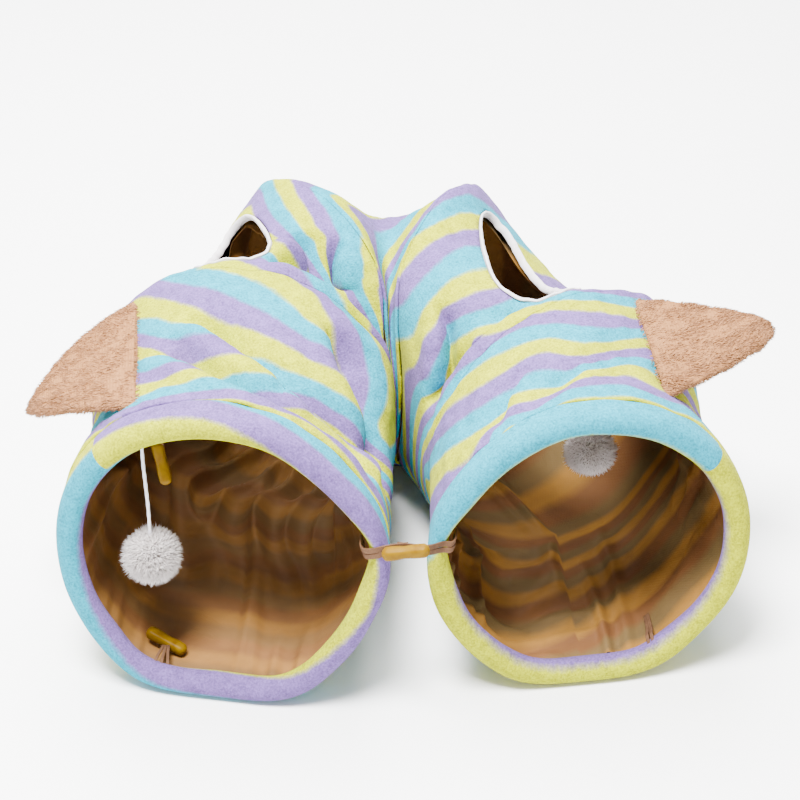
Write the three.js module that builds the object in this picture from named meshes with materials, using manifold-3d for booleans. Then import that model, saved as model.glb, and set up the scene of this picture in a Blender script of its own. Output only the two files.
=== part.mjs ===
// A collapsible plush cat tunnel, laid on the floor and bent round into a U.
// Both mouths face forward and are tied together at their inner edges by a toggle.
// Six sprung hoops carry the cloth; between them it sags, folds and bunches.
// Millimetres, +Z up, front towards -Y, origin on the floor at the middle of the object.
import * as THREE from 'three';
import { mergeVertices } from 'three/addons/utils/BufferGeometryUtils.js';
import Module from 'manifold-3d';

const wasm = await Module();
wasm.setup();

// Driving sizes.
const COVER = 3.0;
const LINING = 1.0;
const GAP = 0.35;
const LINING_GAP = 0.8;
const FLOOR_PRESS = 5.0;
const BAND_WIDTH = 28.0;
const BAND_LIP = 21.0;
const BAND_ROLL = 16.0;
const HOLE_BINDING = 7.0;
const BINDING_GAP = 1.0;
const POMPOM_CORE = 17.0;
const POMPOM_REACH = 24.5;
const POMPOM_LOCKS = 54;
const CORD = 3.4;
const TOGGLE_LENGTH = 34.0;
const TOGGLE_WIDTH = 9.6;
const RIBBON_WIDTH = 9.0;
const RIBBON = 1.6;

// The middle of the object, measured from the left mouth's hoop.
const MIDDLE = { x: 2.3, y: 200.0 };

// Angles run round the tunnel from the inner side of the U (0) over the top (90)
// to the outer side (180) and the floor (270). They are closer together where folds show.
const FOLDED_FROM = -12;
const FOLDED_TO = 192;
const FOLDED_STEPS = 22;
const PLAIN_STEPS = 9;
const ANGLES = [];
for (let k = 0; k < FOLDED_STEPS; k += 1) {
  ANGLES.push(FOLDED_FROM + ((FOLDED_TO - FOLDED_FROM) * k) / FOLDED_STEPS);
}
for (let k = 0; k < PLAIN_STEPS; k += 1) {
  ANGLES.push(FOLDED_TO + ((360 + FOLDED_FROM - FOLDED_TO) * k) / PLAIN_STEPS);
}

// Each hoop: its middle on the floor plan, the way the tunnel heads there (degrees from
// +Y towards +X), how far its top is tipped that way, and its half width and half height.
const HOOPS = [
  { x: -125, y: 0, heading: 9, lean: 7, half_w: 124, half_h: 122 },
  { x: -120, y: 214, heading: 10, lean: 0, half_w: 125, half_h: 120 },
  { x: -64, y: 315, heading: 54, lean: 0, half_w: 125, half_h: 124 },
  { x: 35, y: 318, heading: 118, lean: 0, half_w: 125, half_h: 123 },
  { x: 127, y: 173, heading: 150, lean: 0, half_w: 124, half_h: 120 },
  { x: 136, y: 15, heading: 172, lean: -6, half_w: 120, half_h: 118 },
];

// Where a hoop is pressed out of round.
const DENTS = [
  { hoop: 0, angle: 95, spread: 34, out: -5 },
  { hoop: 0, angle: 45, spread: 28, out: -8 },
  { hoop: 0, angle: 238, spread: 30, out: 7 },
  { hoop: 0, angle: 333, spread: 30, out: -11 },
  { hoop: 2, angle: 140, spread: 30, out: 4 },
  { hoop: 3, angle: 140, spread: 34, out: -7 },
  { hoop: 5, angle: 45, spread: 26, out: -6 },
  { hoop: 5, angle: 95, spread: 34, out: -3 },
  { hoop: 5, angle: 325, spread: 30, out: -3 },
];

// The panels from the left mouth to the right one, with their rows of facets.
const PANELS = [
  { name: 'cover_front_left', rows: 9, run: 215, colour: 0xcfd9c4 },
  { name: 'cover_peephole_left', rows: 7, run: 150, colour: 0xc9c6d8 },
  { name: 'cover_back', rows: 6, run: 150, colour: 0xbfdbe2 },
  { name: 'cover_peephole_right', rows: 7, run: 160, colour: 0xc9c6d8 },
  { name: 'cover_front_right', rows: 8, run: 170, colour: 0xcfd9c4 },
];

// Broad hollows (or swellings, where the depth is negative) in each panel.
const HOLLOWS = [
  { panel: 0, angle: 100, at: 0.55, wide: 50, long: 0.3, depth: 5 },
  { panel: 0, angle: 172, at: 0.48, wide: 26, long: 0.3, depth: 9 },
  { panel: 0, angle: 36, at: 0.72, wide: 16, long: 0.16, depth: -7 },
  { panel: 1, angle: 130, at: 0.48, wide: 38, long: 0.34, depth: 20 },
  { panel: 1, angle: 38, at: 0.45, wide: 30, long: 0.3, depth: 12 },
  { panel: 1, angle: 60, at: 0.6, wide: 10, long: 0.16, depth: 9 },
  { panel: 2, angle: 95, at: 0.55, wide: 58, long: 0.28, depth: 37 },
  { panel: 3, angle: 124, at: 0.52, wide: 42, long: 0.36, depth: 38 },
  { panel: 3, angle: 32, at: 0.72, wide: 18, long: 0.16, depth: 13 },
  { panel: 3, angle: 58, at: 0.84, wide: 9, long: 0.1, depth: -7 },
  { panel: 4, angle: 152, at: 0.5, wide: 34, long: 0.32, depth: 13 },
];

// Creases, each a straight run from one place on a panel to another.
const CREASES = [
  { panel: 0, angle_a: 119, at_a: 0.51, angle_b: 88, at_b: 0.23, depth: 9, width: 22 },
  { panel: 0, angle_a: 88, at_a: 0.23, angle_b: 42, at_b: 0.22, depth: 8, width: 21 },
  { panel: 0, angle_a: 95, at_a: 0.55, angle_b: 71, at_b: 0.32, depth: 9, width: 22 },
  { panel: 0, angle_a: 71, at_a: 0.32, angle_b: 26, at_b: 0.34, depth: 9, width: 22 },
  { panel: 0, angle_a: 55, at_a: 0.73, angle_b: 44, at_b: 0.48, depth: 12, width: 22 },
  { panel: 1, angle_a: 103, at_a: 0.57, angle_b: 64, at_b: 0.18, depth: 12, width: 22 },
  { panel: 1, angle_a: 77, at_a: 0.8, angle_b: 63, at_b: 0.2, depth: 9, width: 21 },
  { panel: 4, angle_a: 72, at_a: 0.4, angle_b: 50, at_b: 0.8, depth: 7, width: 22 },
  { panel: 4, angle_a: 88, at_a: 0.6, angle_b: 66, at_b: 0.82, depth: 6, width: 21 },
  { panel: 4, angle_a: 112, at_a: 0.3, angle_b: 96, at_b: 0.78, depth: 5, width: 22 },
];

// The two arms press on each other along this slanting line on the floor plan.
const TOUCH = { y_front: 150, x_front: 12, y_back: 220, x_back: -7, apart: 2.5, ease: 6 };

// Peepholes: panel, middle, and half sizes round the tunnel (degrees) and along it.
const PEEPHOLES = [
  { name: 'left', panel: 1, angle: 118, at: 0.46, half_angle: 25, half_at: 0.3 },
  { name: 'right', panel: 3, angle: 104, at: 0.53, half_angle: 24, half_at: 0.4 },
];
const HOLE_STEPS = 24;

// Ears: the root runs along a panel; the tip and the bulge of both edges are in the plan frame.
const EARS = [
  {
    name: 'left', panel: 0, at_back: 0.92, angle_back: 133, at_front: 0.3, angle_front: 124,
    tip: [-270, 102, 184], back_bow: [-10, 14, 11], front_bow: [-2, -4, -5],
  },
  {
    name: 'right', panel: 4, at_back: 0.04, angle_back: 119, at_front: 0.7, angle_front: 123,
    tip: [274, 152, 220], back_bow: [8, 10, 6], front_bow: [2, -2, 4],
  },
];
const EAR_TIP = 11;
const EAR_SIDES = 12;
const EAR_THICK = 15;

const add = (a, b) => [a[0] + b[0], a[1] + b[1], a[2] + b[2]];
const sub = (a, b) => [a[0] - b[0], a[1] - b[1], a[2] - b[2]];
const scale = (a, s) => [a[0] * s, a[1] * s, a[2] * s];
const dot = (a, b) => a[0] * b[0] + a[1] * b[1] + a[2] * b[2];
const mix = (a, b, t) => add(a, scale(sub(b, a), t));
const length = (a) => Math.hypot(a[0], a[1], a[2]);
const unit = (a) => scale(a, 1 / Math.max(length(a), 1e-9));
const cross = (a, b) => [
  a[1] * b[2] - a[2] * b[1],
  a[2] * b[0] - a[0] * b[2],
  a[0] * b[1] - a[1] * b[0],
];
const radians = (deg) => (deg * Math.PI) / 180;
const turn = (deg) => ((((deg + 180) % 360) + 360) % 360) - 180;
const smooth = (lo, hi, v) => {
  const t = Math.min(Math.max((v - lo) / (hi - lo), 0), 1);
  return t * t * (3 - 2 * t);
};

// The largest x that the left arm may reach at y, or the smallest for the right arm.
function touchLine(y) {
  const t = (y - TOUCH.y_front) / (TOUCH.y_back - TOUCH.y_front);
  return TOUCH.x_front + (TOUCH.x_back - TOUCH.x_front) * Math.min(Math.max(t, 0), 1);
}

// Keeps a point of the left (-1) or right (+1) arm on its own side, and off the floor.
function settle(point, side) {
  const [x, y, z] = point;
  const floor = Math.max(z, 0);
  if (side === 0) {
    return [x, y, floor];
  }
  const limit = touchLine(y) + side * TOUCH.apart;
  const clear = side * (x - limit);
  const eased = 0.5 * (clear + Math.hypot(clear, TOUCH.ease));
  return [limit + side * eased, y, floor];
}

const sideOf = (w) => (w <= 2 ? -1 : w >= 3 ? 1 : 0);

function hoopMiddle(index) {
  const hoop = HOOPS[index];
  return [hoop.x, hoop.y, hoop.half_h * Math.cos(radians(hoop.lean)) - FLOOR_PRESS];
}

function hoopPoint(index, deg) {
  const hoop = HOOPS[index];
  let out = 0;
  for (const dent of DENTS) {
    if (dent.hoop === index) {
      out += dent.out * Math.exp(-((turn(deg - dent.angle) / dent.spread) ** 2));
    }
  }
  const heading = radians(hoop.heading);
  const lean = radians(hoop.lean);
  const across = (hoop.half_w + out) * Math.cos(radians(deg));
  const up = (hoop.half_h + out) * Math.sin(radians(deg));
  const offset = [
    across * Math.cos(heading) + up * Math.sin(lean) * Math.sin(heading),
    -across * Math.sin(heading) + up * Math.sin(lean) * Math.cos(heading),
    up * Math.cos(lean),
  ];
  return settle(add(hoopMiddle(index), offset), sideOf(index));
}

const MM_PER_DEGREE = radians(1) * 123;
const MOUTH_PLAIN = BAND_WIDTH + 2;
const runAt = (panel, deg) => length(sub(hoopPoint(panel + 1, deg), hoopPoint(panel, deg)));

// How far a fold draws the cloth in at a place on a panel.
function foldDepth(panel, deg, t) {
  const mouth = (part) => smooth(MOUTH_PLAIN, MOUTH_PLAIN + 24, part * runAt(panel, deg));
  const starts = panel === 0 ? mouth(t) : smooth(0, 0.16, t);
  const ends = panel === PANELS.length - 1 ? mouth(1 - t) : smooth(0, 0.16, 1 - t);
  let depth = 0;
  for (const row of HOLLOWS) {
    if (row.panel === panel) {
      const round = turn(deg - row.angle) / row.wide;
      const along = (t - row.at) / row.long;
      depth += row.depth * Math.exp(-round * round - along * along);
    }
  }
  const run = PANELS[panel].run;
  for (const row of CREASES) {
    if (row.panel === panel) {
      const px = turn(deg - row.angle_a) * MM_PER_DEGREE;
      const py = (t - row.at_a) * run;
      const dx = turn(row.angle_b - row.angle_a) * MM_PER_DEGREE;
      const dy = (row.at_b - row.at_a) * run;
      const k = (px * dx + py * dy) / (dx * dx + dy * dy);
      const near = Math.min(Math.max(k, 0), 1);
      const off = Math.hypot(px - near * dx, py - near * dy) / row.width;
      depth += row.depth * Math.exp(-off * off);
    }
  }
  return depth * starts * ends;
}

// A point of the cover's outer face; w counts hoops from the left mouth (0) to the right (5).
function surface(w, deg, panel = Math.min(Math.floor(w), PANELS.length - 1)) {
  const t = w - panel;
  const point = mix(hoopPoint(panel, deg), hoopPoint(panel + 1, deg), t);
  const middle = mix(hoopMiddle(panel), hoopMiddle(panel + 1), t);
  const inward = unit(sub(middle, point));
  return settle(add(point, scale(inward, foldDepth(panel, deg, t))), sideOf(w));
}

function panelNormal(w, deg, panel) {
  const step = 0.01;
  const from = Math.max(w - step, panel);
  const to = Math.min(w + step, panel + 1);
  const along = sub(surface(to, deg, panel), surface(from, deg, panel));
  const round = sub(surface(w, deg + 0.8, panel), surface(w, deg - 0.8, panel));
  return unit(cross(along, round));
}

// The outward direction; on a hoop it is shared by the panels that meet there.
function normal(w, deg) {
  const hoop = Math.round(w);
  const shared = Math.abs(w - hoop) < 1e-6 && hoop > 0 && hoop < PANELS.length;
  if (shared) {
    return unit(add(panelNormal(w, deg, hoop - 1), panelNormal(w, deg, hoop)));
  }
  return panelNormal(w, deg, Math.min(Math.floor(w), PANELS.length - 1));
}

// Places along a panel at one angle, drawn back by a clearance in mm at either end.
function stations(panel, deg, from, to) {
  const rows = PANELS[panel].rows;
  const run = runAt(panel, deg);
  const first = Math.min(from / run, 0.45);
  const last = 1 - Math.min(to / run, 0.45);
  const list = [];
  for (let k = 0; k <= rows; k += 1) {
    list.push(panel + first + ((last - first) * k) / rows);
  }
  return list;
}

const MOUTH_GAP = BAND_WIDTH + GAP;
const HALF_GAP = GAP / 2;

// The places of one cover panel, a hair short of its hoops.
function coverPlaces(panel, deg) {
  const from = panel === 0 ? MOUTH_GAP : HALF_GAP;
  const to = panel === PANELS.length - 1 ? MOUTH_GAP : HALF_GAP;
  return stations(panel, deg, from, to);
}

// The places of the lining: those of the cover, and on to the lips of both mouths.
function liningPlaces(deg) {
  const last = PANELS.length - 1;
  const lip = BAND_LIP + GAP;
  const list = [lip / runAt(0, deg)];
  PANELS.forEach((_, panel) => {
    const places = coverPlaces(panel, deg);
    if (panel > 0) {
      places[0] = panel;
    }
    if (panel < last) {
      places.pop();
    }
    list.push(...places);
  });
  list.push(PANELS.length - lip / runAt(last, deg));
  return list;
}

// A closed ring of closed sections, given as rows of points. From the section's point number
// crossed on, the facets are split along their other diagonal.
function ringMesh(rows, crossed = rows[0].length) {
  const count = rows.length;
  const size = rows[0].length;
  const points = rows.flat();
  const faces = [];
  for (let i = 0; i < count; i += 1) {
    const next = (i + 1) % count;
    for (let k = 0; k < size; k += 1) {
      const m = (k + 1) % size;
      const a = i * size + k;
      const b = next * size + k;
      const c = next * size + m;
      const d = i * size + m;
      if (k < crossed) {
        faces.push([a, b, c], [a, c, d]);
      } else {
        faces.push([a, b, d], [b, c, d]);
      }
    }
  }
  return faceOut({ points, faces });
}

// A loft through closed loops, with a point at the middle of each end.
function loftMesh(loops) {
  const size = loops[0].length;
  const points = loops.flat();
  const faces = [];
  for (let i = 0; i + 1 < loops.length; i += 1) {
    for (let k = 0; k < size; k += 1) {
      const m = (k + 1) % size;
      const a = i * size + k;
      const b = (i + 1) * size + k;
      faces.push([a, b, (i + 1) * size + m], [a, (i + 1) * size + m, i * size + m]);
    }
  }
  const middleOf = (loop) => scale(loop.reduce(add, [0, 0, 0]), 1 / size);
  const first = points.push(middleOf(loops[0])) - 1;
  const last = points.push(middleOf(loops[loops.length - 1])) - 1;
  const base = (loops.length - 1) * size;
  for (let k = 0; k < size; k += 1) {
    const m = (k + 1) % size;
    faces.push([first, k, m], [last, base + m, base + k]);
  }
  return faceOut({ points, faces });
}

// Turns the faces round where the enclosed volume comes out negative.
function faceOut(mesh) {
  let volume = 0;
  for (const [a, b, c] of mesh.faces) {
    volume += dot(mesh.points[a], cross(mesh.points[b], mesh.points[c]));
  }
  if (volume < 0) {
    mesh.faces = mesh.faces.map(([a, b, c]) => [a, c, b]);
  }
  return mesh;
}

// The points and faces of a geometry, with its seams closed.
function fromGeometry(geometry, middle = [0, 0, 0]) {
  geometry.deleteAttribute('normal');
  geometry.deleteAttribute('uv');
  const merged = mergeVertices(geometry, 1e-3);
  const spots = merged.attributes.position;
  const points = [];
  for (let k = 0; k < spots.count; k += 1) {
    points.push(add(middle, [spots.getX(k), spots.getY(k), spots.getZ(k)]));
  }
  const index = Array.from(merged.index.array);
  const faces = [];
  for (let k = 0; k < index.length; k += 3) {
    faces.push(index.slice(k, k + 3));
  }
  return faceOut({ points, faces });
}

function toSolid(mesh) {
  const vertProperties = new Float32Array(mesh.points.flat());
  const triVerts = new Uint32Array(mesh.faces.flat());
  return new wasm.Manifold(new wasm.Mesh({ numProp: 3, vertProperties, triVerts }));
}

function fromSolid(solid) {
  const mesh = solid.getMesh();
  const points = [];
  for (let k = 0; k < mesh.vertProperties.length; k += mesh.numProp) {
    points.push(Array.from(mesh.vertProperties.slice(k, k + 3)));
  }
  const faces = [];
  for (let k = 0; k < mesh.triVerts.length; k += 3) {
    faces.push(Array.from(mesh.triVerts.slice(k, k + 3)));
  }
  return { points, faces };
}

const tunnel = new THREE.Group();

function place(name, mesh, colour, roughness) {
  const geometry = new THREE.BufferGeometry();
  const flat = mesh.points.flatMap(([x, y, z]) => [x - MIDDLE.x, y - MIDDLE.y, z]);
  geometry.setAttribute('position', new THREE.BufferAttribute(new Float32Array(flat), 3));
  geometry.setIndex(mesh.faces.flat());
  geometry.computeVertexNormals();
  const material = new THREE.MeshStandardMaterial({ color: colour, roughness, metalness: 0 });
  const piece = new THREE.Mesh(geometry, material);
  piece.name = name;
  tunnel.add(piece);
}

// A shell between two depths under the cover's face, through the places given for each angle.
function shellMesh(placesAt, outer, inner) {
  const rows = ANGLES.map((deg) => {
    const face = placesAt(deg).map((w) => {
      const hoop = Math.round(w);
      const atHoop = Math.abs(w - hoop) * runAt(Math.min(hoop, PANELS.length - 1), deg) < GAP;
      return { point: surface(w, deg), out: normal(atHoop ? hoop : w, deg) };
    });
    const upper = face.map(({ point, out }) => add(point, scale(out, -outer)));
    const lower = face.map(({ point, out }) => add(point, scale(out, -inner))).reverse();
    return [...upper, ...lower];
  });
  return ringMesh(rows, rows[0].length / 2);
}

// The edge of a peephole on the cover, with the outward and the sideways direction there.
function holeEdge(hole) {
  const list = [];
  for (let k = 0; k < HOLE_STEPS; k += 1) {
    const phase = (2 * Math.PI * k) / HOLE_STEPS;
    const at = (grow) => surface(
      hole.panel + hole.at + hole.half_at * grow * Math.cos(phase),
      hole.angle + hole.half_angle * grow * Math.sin(phase),
    );
    const w = hole.panel + hole.at + hole.half_at * Math.cos(phase);
    const deg = hole.angle + hole.half_angle * Math.sin(phase);
    const out = normal(w, deg);
    const wide = sub(at(1.04), at(0.96));
    const away = unit(sub(wide, scale(out, dot(wide, out))));
    list.push({ point: at(1), out, away });
  }
  return list;
}

const HOLE_CUT = 40;

function holePlug(hole) {
  const edge = holeEdge(hole);
  const ring = (depth) => edge.map(({ point, out }) => add(point, scale(out, depth)));
  return toSolid(loftMesh([ring(HOLE_CUT), ring(0), ring(-HOLE_CUT)]));
}

// Sections of a binding: how far towards the hole's middle, and how far out of the cloth.
const BINDING_SECTION = [
  { toward: BINDING_GAP, out: 0.6 },
  { toward: 2.2, out: 1.4 },
  { toward: HOLE_BINDING - 1.6, out: 0.6 },
  { toward: HOLE_BINDING, out: -1.8 },
  { toward: HOLE_BINDING - 1.6, out: -4.6 },
  { toward: BINDING_GAP, out: -4.6 },
];

function bindingMesh(hole) {
  return ringMesh(holeEdge(hole).map(({ point, out, away }) => BINDING_SECTION.map(
    (row) => add(add(point, scale(away, -row.toward)), scale(out, row.out)),
  )));
}

// The rolled mouth band: distance back from the nose and height out of the cover's face.
const BAND_SECTION = [
  { back: BAND_WIDTH, out: 0 },
  { back: 15, out: 0.5 },
  { back: 6, out: -0.6 },
  { back: 0.8, out: -3.8 },
  { back: 0.8, out: -BAND_ROLL + 3.8 },
  { back: 6, out: -BAND_ROLL },
  { back: 15, out: -BAND_ROLL },
  { back: BAND_LIP, out: -BAND_ROLL + 4 },
  { back: BAND_LIP, out: -COVER },
  { back: BAND_WIDTH, out: -COVER },
];

// A point of a mouth's rim: its distance back from the nose and its height out of the cover.
function rimPoint(right, deg, back, out) {
  const panel = right ? PANELS.length - 1 : 0;
  const nose = hoopPoint(right ? panel + 1 : 0, deg);
  const way = unit(sub(hoopPoint(right ? panel : 1, deg), nose));
  const part = Math.max(back, 2) / runAt(panel, deg);
  const up = normal(right ? panel + 1 - part : part, deg);
  const [x, y, z] = add(nose, add(scale(way, back), scale(up, out)));
  return [x, y, Math.max(z, 0)];
}

function bandMesh(right, grow) {
  const middle = { back: 10, out: -BAND_ROLL / 2 };
  return ringMesh(ANGLES.map((deg) => BAND_SECTION.map((row) => {
    const back = row.back - middle.back;
    const out = row.out - middle.out;
    const far = Math.max(Math.hypot(back, out), 1e-6);
    const k = 1 + grow / far;
    return rimPoint(right, deg, middle.back + back * k, middle.out + out * k);
  })));
}

const PLUSH = 0.95;
const plugs = PEEPHOLES.map(holePlug);

PANELS.forEach((panel, index) => {
  let mesh = shellMesh((deg) => coverPlaces(index, deg), 0, COVER);
  PEEPHOLES.forEach((hole, k) => {
    if (hole.panel === index) {
      mesh = fromSolid(toSolid(mesh).subtract(plugs[k]));
    }
  });
  place(panel.name, mesh, panel.colour, PLUSH);
});

const liningDepth = COVER + LINING_GAP;
const liningShell = toSolid(shellMesh(liningPlaces, liningDepth, liningDepth + LINING));
const lining = plugs.reduce((solid, plug) => solid.subtract(plug), liningShell);
place('lining', fromSolid(lining), 0x6b4828, 0.55);

place('mouth_band_left', bandMesh(false, 0), 0xc2b8d4, PLUSH);
place('mouth_band_right', bandMesh(true, 0), 0xd9d6a0, PLUSH);

PEEPHOLES.forEach((hole) => {
  place(`binding_${hole.name}`, bindingMesh(hole), 0xf2efec, 0.9);
});

// An ear: lens sections between its back and front edges, cut off along the cover.
const EAR_TAPER = [
  { along: 0.0, thick: 1.0, round: 1.0 },
  { along: 0.2, thick: 1.0, round: 1.0 },
  { along: 0.4, thick: 1.0, round: 1.0 },
  { along: 0.6, thick: 0.95, round: 1.0 },
  { along: 0.8, thick: 0.85, round: 1.0 },
  { along: 0.92, thick: 0.75, round: 0.95 },
  { along: 1.0, thick: 0.6, round: 0.75 },
  { along: 1.05, thick: 0.3, round: 0.3 },
];

function earMesh(ear) {
  const sunk = -2.5;
  const rootAt = (at, deg) => {
    const w = ear.panel + at;
    return add(surface(w, deg), scale(normal(w, deg), sunk));
  };
  const back = rootAt(ear.at_back, ear.angle_back);
  const front = rootAt(ear.at_front, ear.angle_front);
  const flat = unit(cross(sub(front, back), sub(ear.tip, mix(back, front, 0.5))));
  const bow = (t) => 4 * t * (1 - t);
  const rootHalf = length(sub(front, back)) / 2;
  const loops = EAR_TAPER.map(({ along, thick: deepness, round }) => {
    const edgeB = add(mix(back, ear.tip, along), scale(ear.back_bow, bow(along)));
    const edgeF = add(mix(front, ear.tip, along), scale(ear.front_bow, bow(along)));
    const middle = mix(edgeB, edgeF, 0.5);
    const bulge = dot(sub(edgeF, edgeB), unit(sub(front, back))) / 2;
    const half = (Math.max(bulge, rootHalf * (1 - along)) + EAR_TIP * along) * round;
    const lie = unit(sub(front, back));
    const thick = (EAR_THICK / 2) * deepness;
    const loop = [];
    for (let s = 0; s < EAR_SIDES; s += 1) {
      const phase = (2 * Math.PI * s) / EAR_SIDES;
      const wide = scale(lie, half * Math.cos(phase));
      const deep = scale(flat, thick * Math.sin(phase));
      loop.push(add(middle, add(wide, deep)));
    }
    return loop;
  });
  return loftMesh(loops);
}

EARS.forEach((ear) => {
  const under = toSolid(shellMesh((deg) => coverPlaces(ear.panel, deg), -GAP, 14));
  place(`ear_${ear.name}`, fromSolid(toSolid(earMesh(ear)).subtract(under)), 0xdebca0, PLUSH);
});

// A flat strip along a path, its width lying along one direction.
function stripMesh(path, wide, width, thick) {
  const across = scale(unit(wide), width / 2);
  return loftMesh(path.map((point, k) => {
    const before = path[Math.max(k - 1, 0)];
    const after = path[Math.min(k + 1, path.length - 1)];
    const deep = scale(unit(cross(sub(after, before), across)), thick / 2);
    return [
      add(point, add(across, deep)),
      add(point, sub(deep, across)),
      sub(point, add(across, deep)),
      sub(point, sub(deep, across)),
    ];
  }));
}

// A toggle: a rounded bar with a slight waist.
const TOGGLE_PROFILE = [
  { along: -0.5, round: 0.42 },
  { along: -0.44, round: 0.8 },
  { along: -0.32, round: 1 },
  { along: 0, round: 0.86 },
  { along: 0.32, round: 1 },
  { along: 0.44, round: 0.8 },
  { along: 0.5, round: 0.42 },
];
const TOGGLE_SIDES = 8;

function toggleMesh(middle, way, grow) {
  const axis = unit(way);
  const side = unit(cross(axis, Math.abs(axis[2]) > 0.7 ? [1, 0, 0] : [0, 0, 1]));
  const up = cross(side, axis);
  const reach = TOGGLE_LENGTH + 2 * grow;
  return loftMesh(TOGGLE_PROFILE.map((row) => {
    const round = (TOGGLE_WIDTH / 2) * row.round + grow;
    const loop = [];
    for (let k = 0; k < TOGGLE_SIDES; k += 1) {
      const phase = (2 * Math.PI * k) / TOGGLE_SIDES;
      const spoke = add(scale(side, round * Math.cos(phase)), scale(up, round * Math.sin(phase)));
      loop.push(add(middle, add(scale(axis, reach * row.along), spoke)));
    }
    return loop;
  }));
}

const rims = [toSolid(bandMesh(false, GAP)), toSolid(bandMesh(true, GAP))];

// Trims a piece so that it stands a hair clear of the solids that it meets.
function trimmed(mesh, solids) {
  return fromSolid(solids.reduce((solid, other) => solid.subtract(other), toSolid(mesh)));
}

const RIM_WAY = 2;
const rimWay = (right, deg) => sub(
  rimPoint(right, deg + RIM_WAY, 10, -BAND_ROLL),
  rimPoint(right, deg - RIM_WAY, 10, -BAND_ROLL),
);

// The path of a ribbon over the nose of a mouth band, from inside the lip to the front.
const OVER = BAND_ROLL + RIBBON / 2 + GAP;
const OVER_NOSE = [
  { back: 16, out: -OVER },
  { back: 6, out: -OVER },
  { back: 0.6, out: -BAND_ROLL + 2 },
  { back: -RIBBON / 2 - GAP, out: -BAND_ROLL / 2 },
];
const overNose = (right, deg) => OVER_NOSE.map((row) => rimPoint(right, deg, row.back, row.out));

// The fastened toggle between the mouths, its tab from the left and its loop from the right.
const TIE = { left: 14, right: 12, toggle: [4, -21, 148], way: [0.97, -0.1, 0.2] };
const tieToggle = toSolid(toggleMesh(TIE.toggle, TIE.way, GAP));
place('toggle_tie', toggleMesh(TIE.toggle, TIE.way, 0), 0xb98f2a, 0.35);

const tabEnd = add(TIE.toggle, [0, 3, 1]);
const tabTie = stripMesh(
  [...overNose(false, TIE.left), tabEnd], rimWay(false, TIE.left), RIBBON_WIDTH, RIBBON);
place('tab_tie', trimmed(tabTie, [rims[0], tieToggle]), 0x97704f, 0.7);

const underToggle = TOGGLE_WIDTH / 2 + 2 + RIBBON_WIDTH / 2;
const loopEnd = add(TIE.toggle, [-9, 2, -underToggle]);
const loopMid = add(TIE.toggle, [6, 2, -underToggle]);
const loopTie = stripMesh(
  [...overNose(true, TIE.right), loopMid, loopEnd], rimWay(true, TIE.right), RIBBON_WIDTH - 1, RIBBON);
place('loop_tie', trimmed(loopTie, [rims[1], tieToggle]), 0x97704f, 0.7);

// The free toggles inside the left mouth: one hangs from the lip, one lies on the lining.
const HANG = { angle: 117, drop: 27, way: [0.2, -0.3, -0.93] };
const hangTop = rimPoint(false, HANG.angle, 17, -OVER);
const hangEnd = add(hangTop, [1, 4, -HANG.drop]);
place('toggle_upper', toggleMesh(hangEnd, HANG.way, 0), 0xc79a24, 0.35);
const hangTab = stripMesh(
  [rimPoint(false, HANG.angle, 8, -OVER), hangTop, hangEnd],
  rimWay(false, HANG.angle), RIBBON_WIDTH - 1, RIBBON);
const hangToggle = toSolid(toggleMesh(hangEnd, HANG.way, GAP));
place('tab_upper', trimmed(hangTab, [rims[0], hangToggle]), 0x97704f, 0.7);

// Heights over the inside of the cover.
const LINING_TOP = COVER + LINING_GAP + LINING;
const onLining = (thick) => -(LINING_TOP + GAP + thick / 2);

const LIE = { angle: 246, back: 42, turned: 0.2 };
const lieMiddle = rimPoint(false, LIE.angle, LIE.back, onLining(TOGGLE_WIDTH) - 4.8);
const lieWay = add(
  unit(rimWay(false, LIE.angle)),
  scale(unit(sub(rimPoint(false, LIE.angle, 30, -9), lieMiddle)), LIE.turned),
);
place('toggle_lower', toggleMesh(lieMiddle, lieWay, 0), 0xc79a24, 0.35);
const lieTab = stripMesh(
  [8, 15, 23].map((back) => rimPoint(false, LIE.angle, back, -OVER)).concat([lieMiddle]),
  rimWay(false, LIE.angle), RIBBON_WIDTH, RIBBON);
const lieToggle = toSolid(toggleMesh(lieMiddle, lieWay, GAP));
place('tab_lower', trimmed(lieTab, [rims[0], lieToggle]), 0x97704f, 0.7);

// The free loops inside the right mouth, pressed flat.
const LOOP_THICK = 2 * RIBBON;
const OVER_LIP = OVER + RIBBON / 2;
const LOOPS = [
  { name: 'loop_upper', angle: 110, path: [[8, -OVER_LIP], [18, -OVER_LIP], [30, -OVER_LIP - 6]] },
  { name: 'loop_lower', angle: 240, path: [[8, -OVER_LIP], [19, -OVER_LIP], [34, -11], [52, -8.6]] },
];
LOOPS.forEach((loop) => {
  const path = loop.path.map(([back, out]) => rimPoint(true, loop.angle, back, out));
  const mesh = stripMesh(path, rimWay(true, loop.angle), RIBBON_WIDTH, LOOP_THICK);
  place(loop.name, trimmed(mesh, [rims[1]]), 0x97704f, 0.7);
});

// A pompom: a round core with short yarn locks all over it but for a bare spot at its cord.
const BARE_SPOT = Math.cos(radians(20));
const GOLDEN = Math.PI * (3 - Math.sqrt(5));

const LOCK_FACES = [
  [0, 2, 1], [3, 4, 5],
  [0, 1, 4], [0, 4, 3], [1, 2, 5], [1, 5, 4], [2, 0, 3], [2, 3, 5],
];

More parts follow.
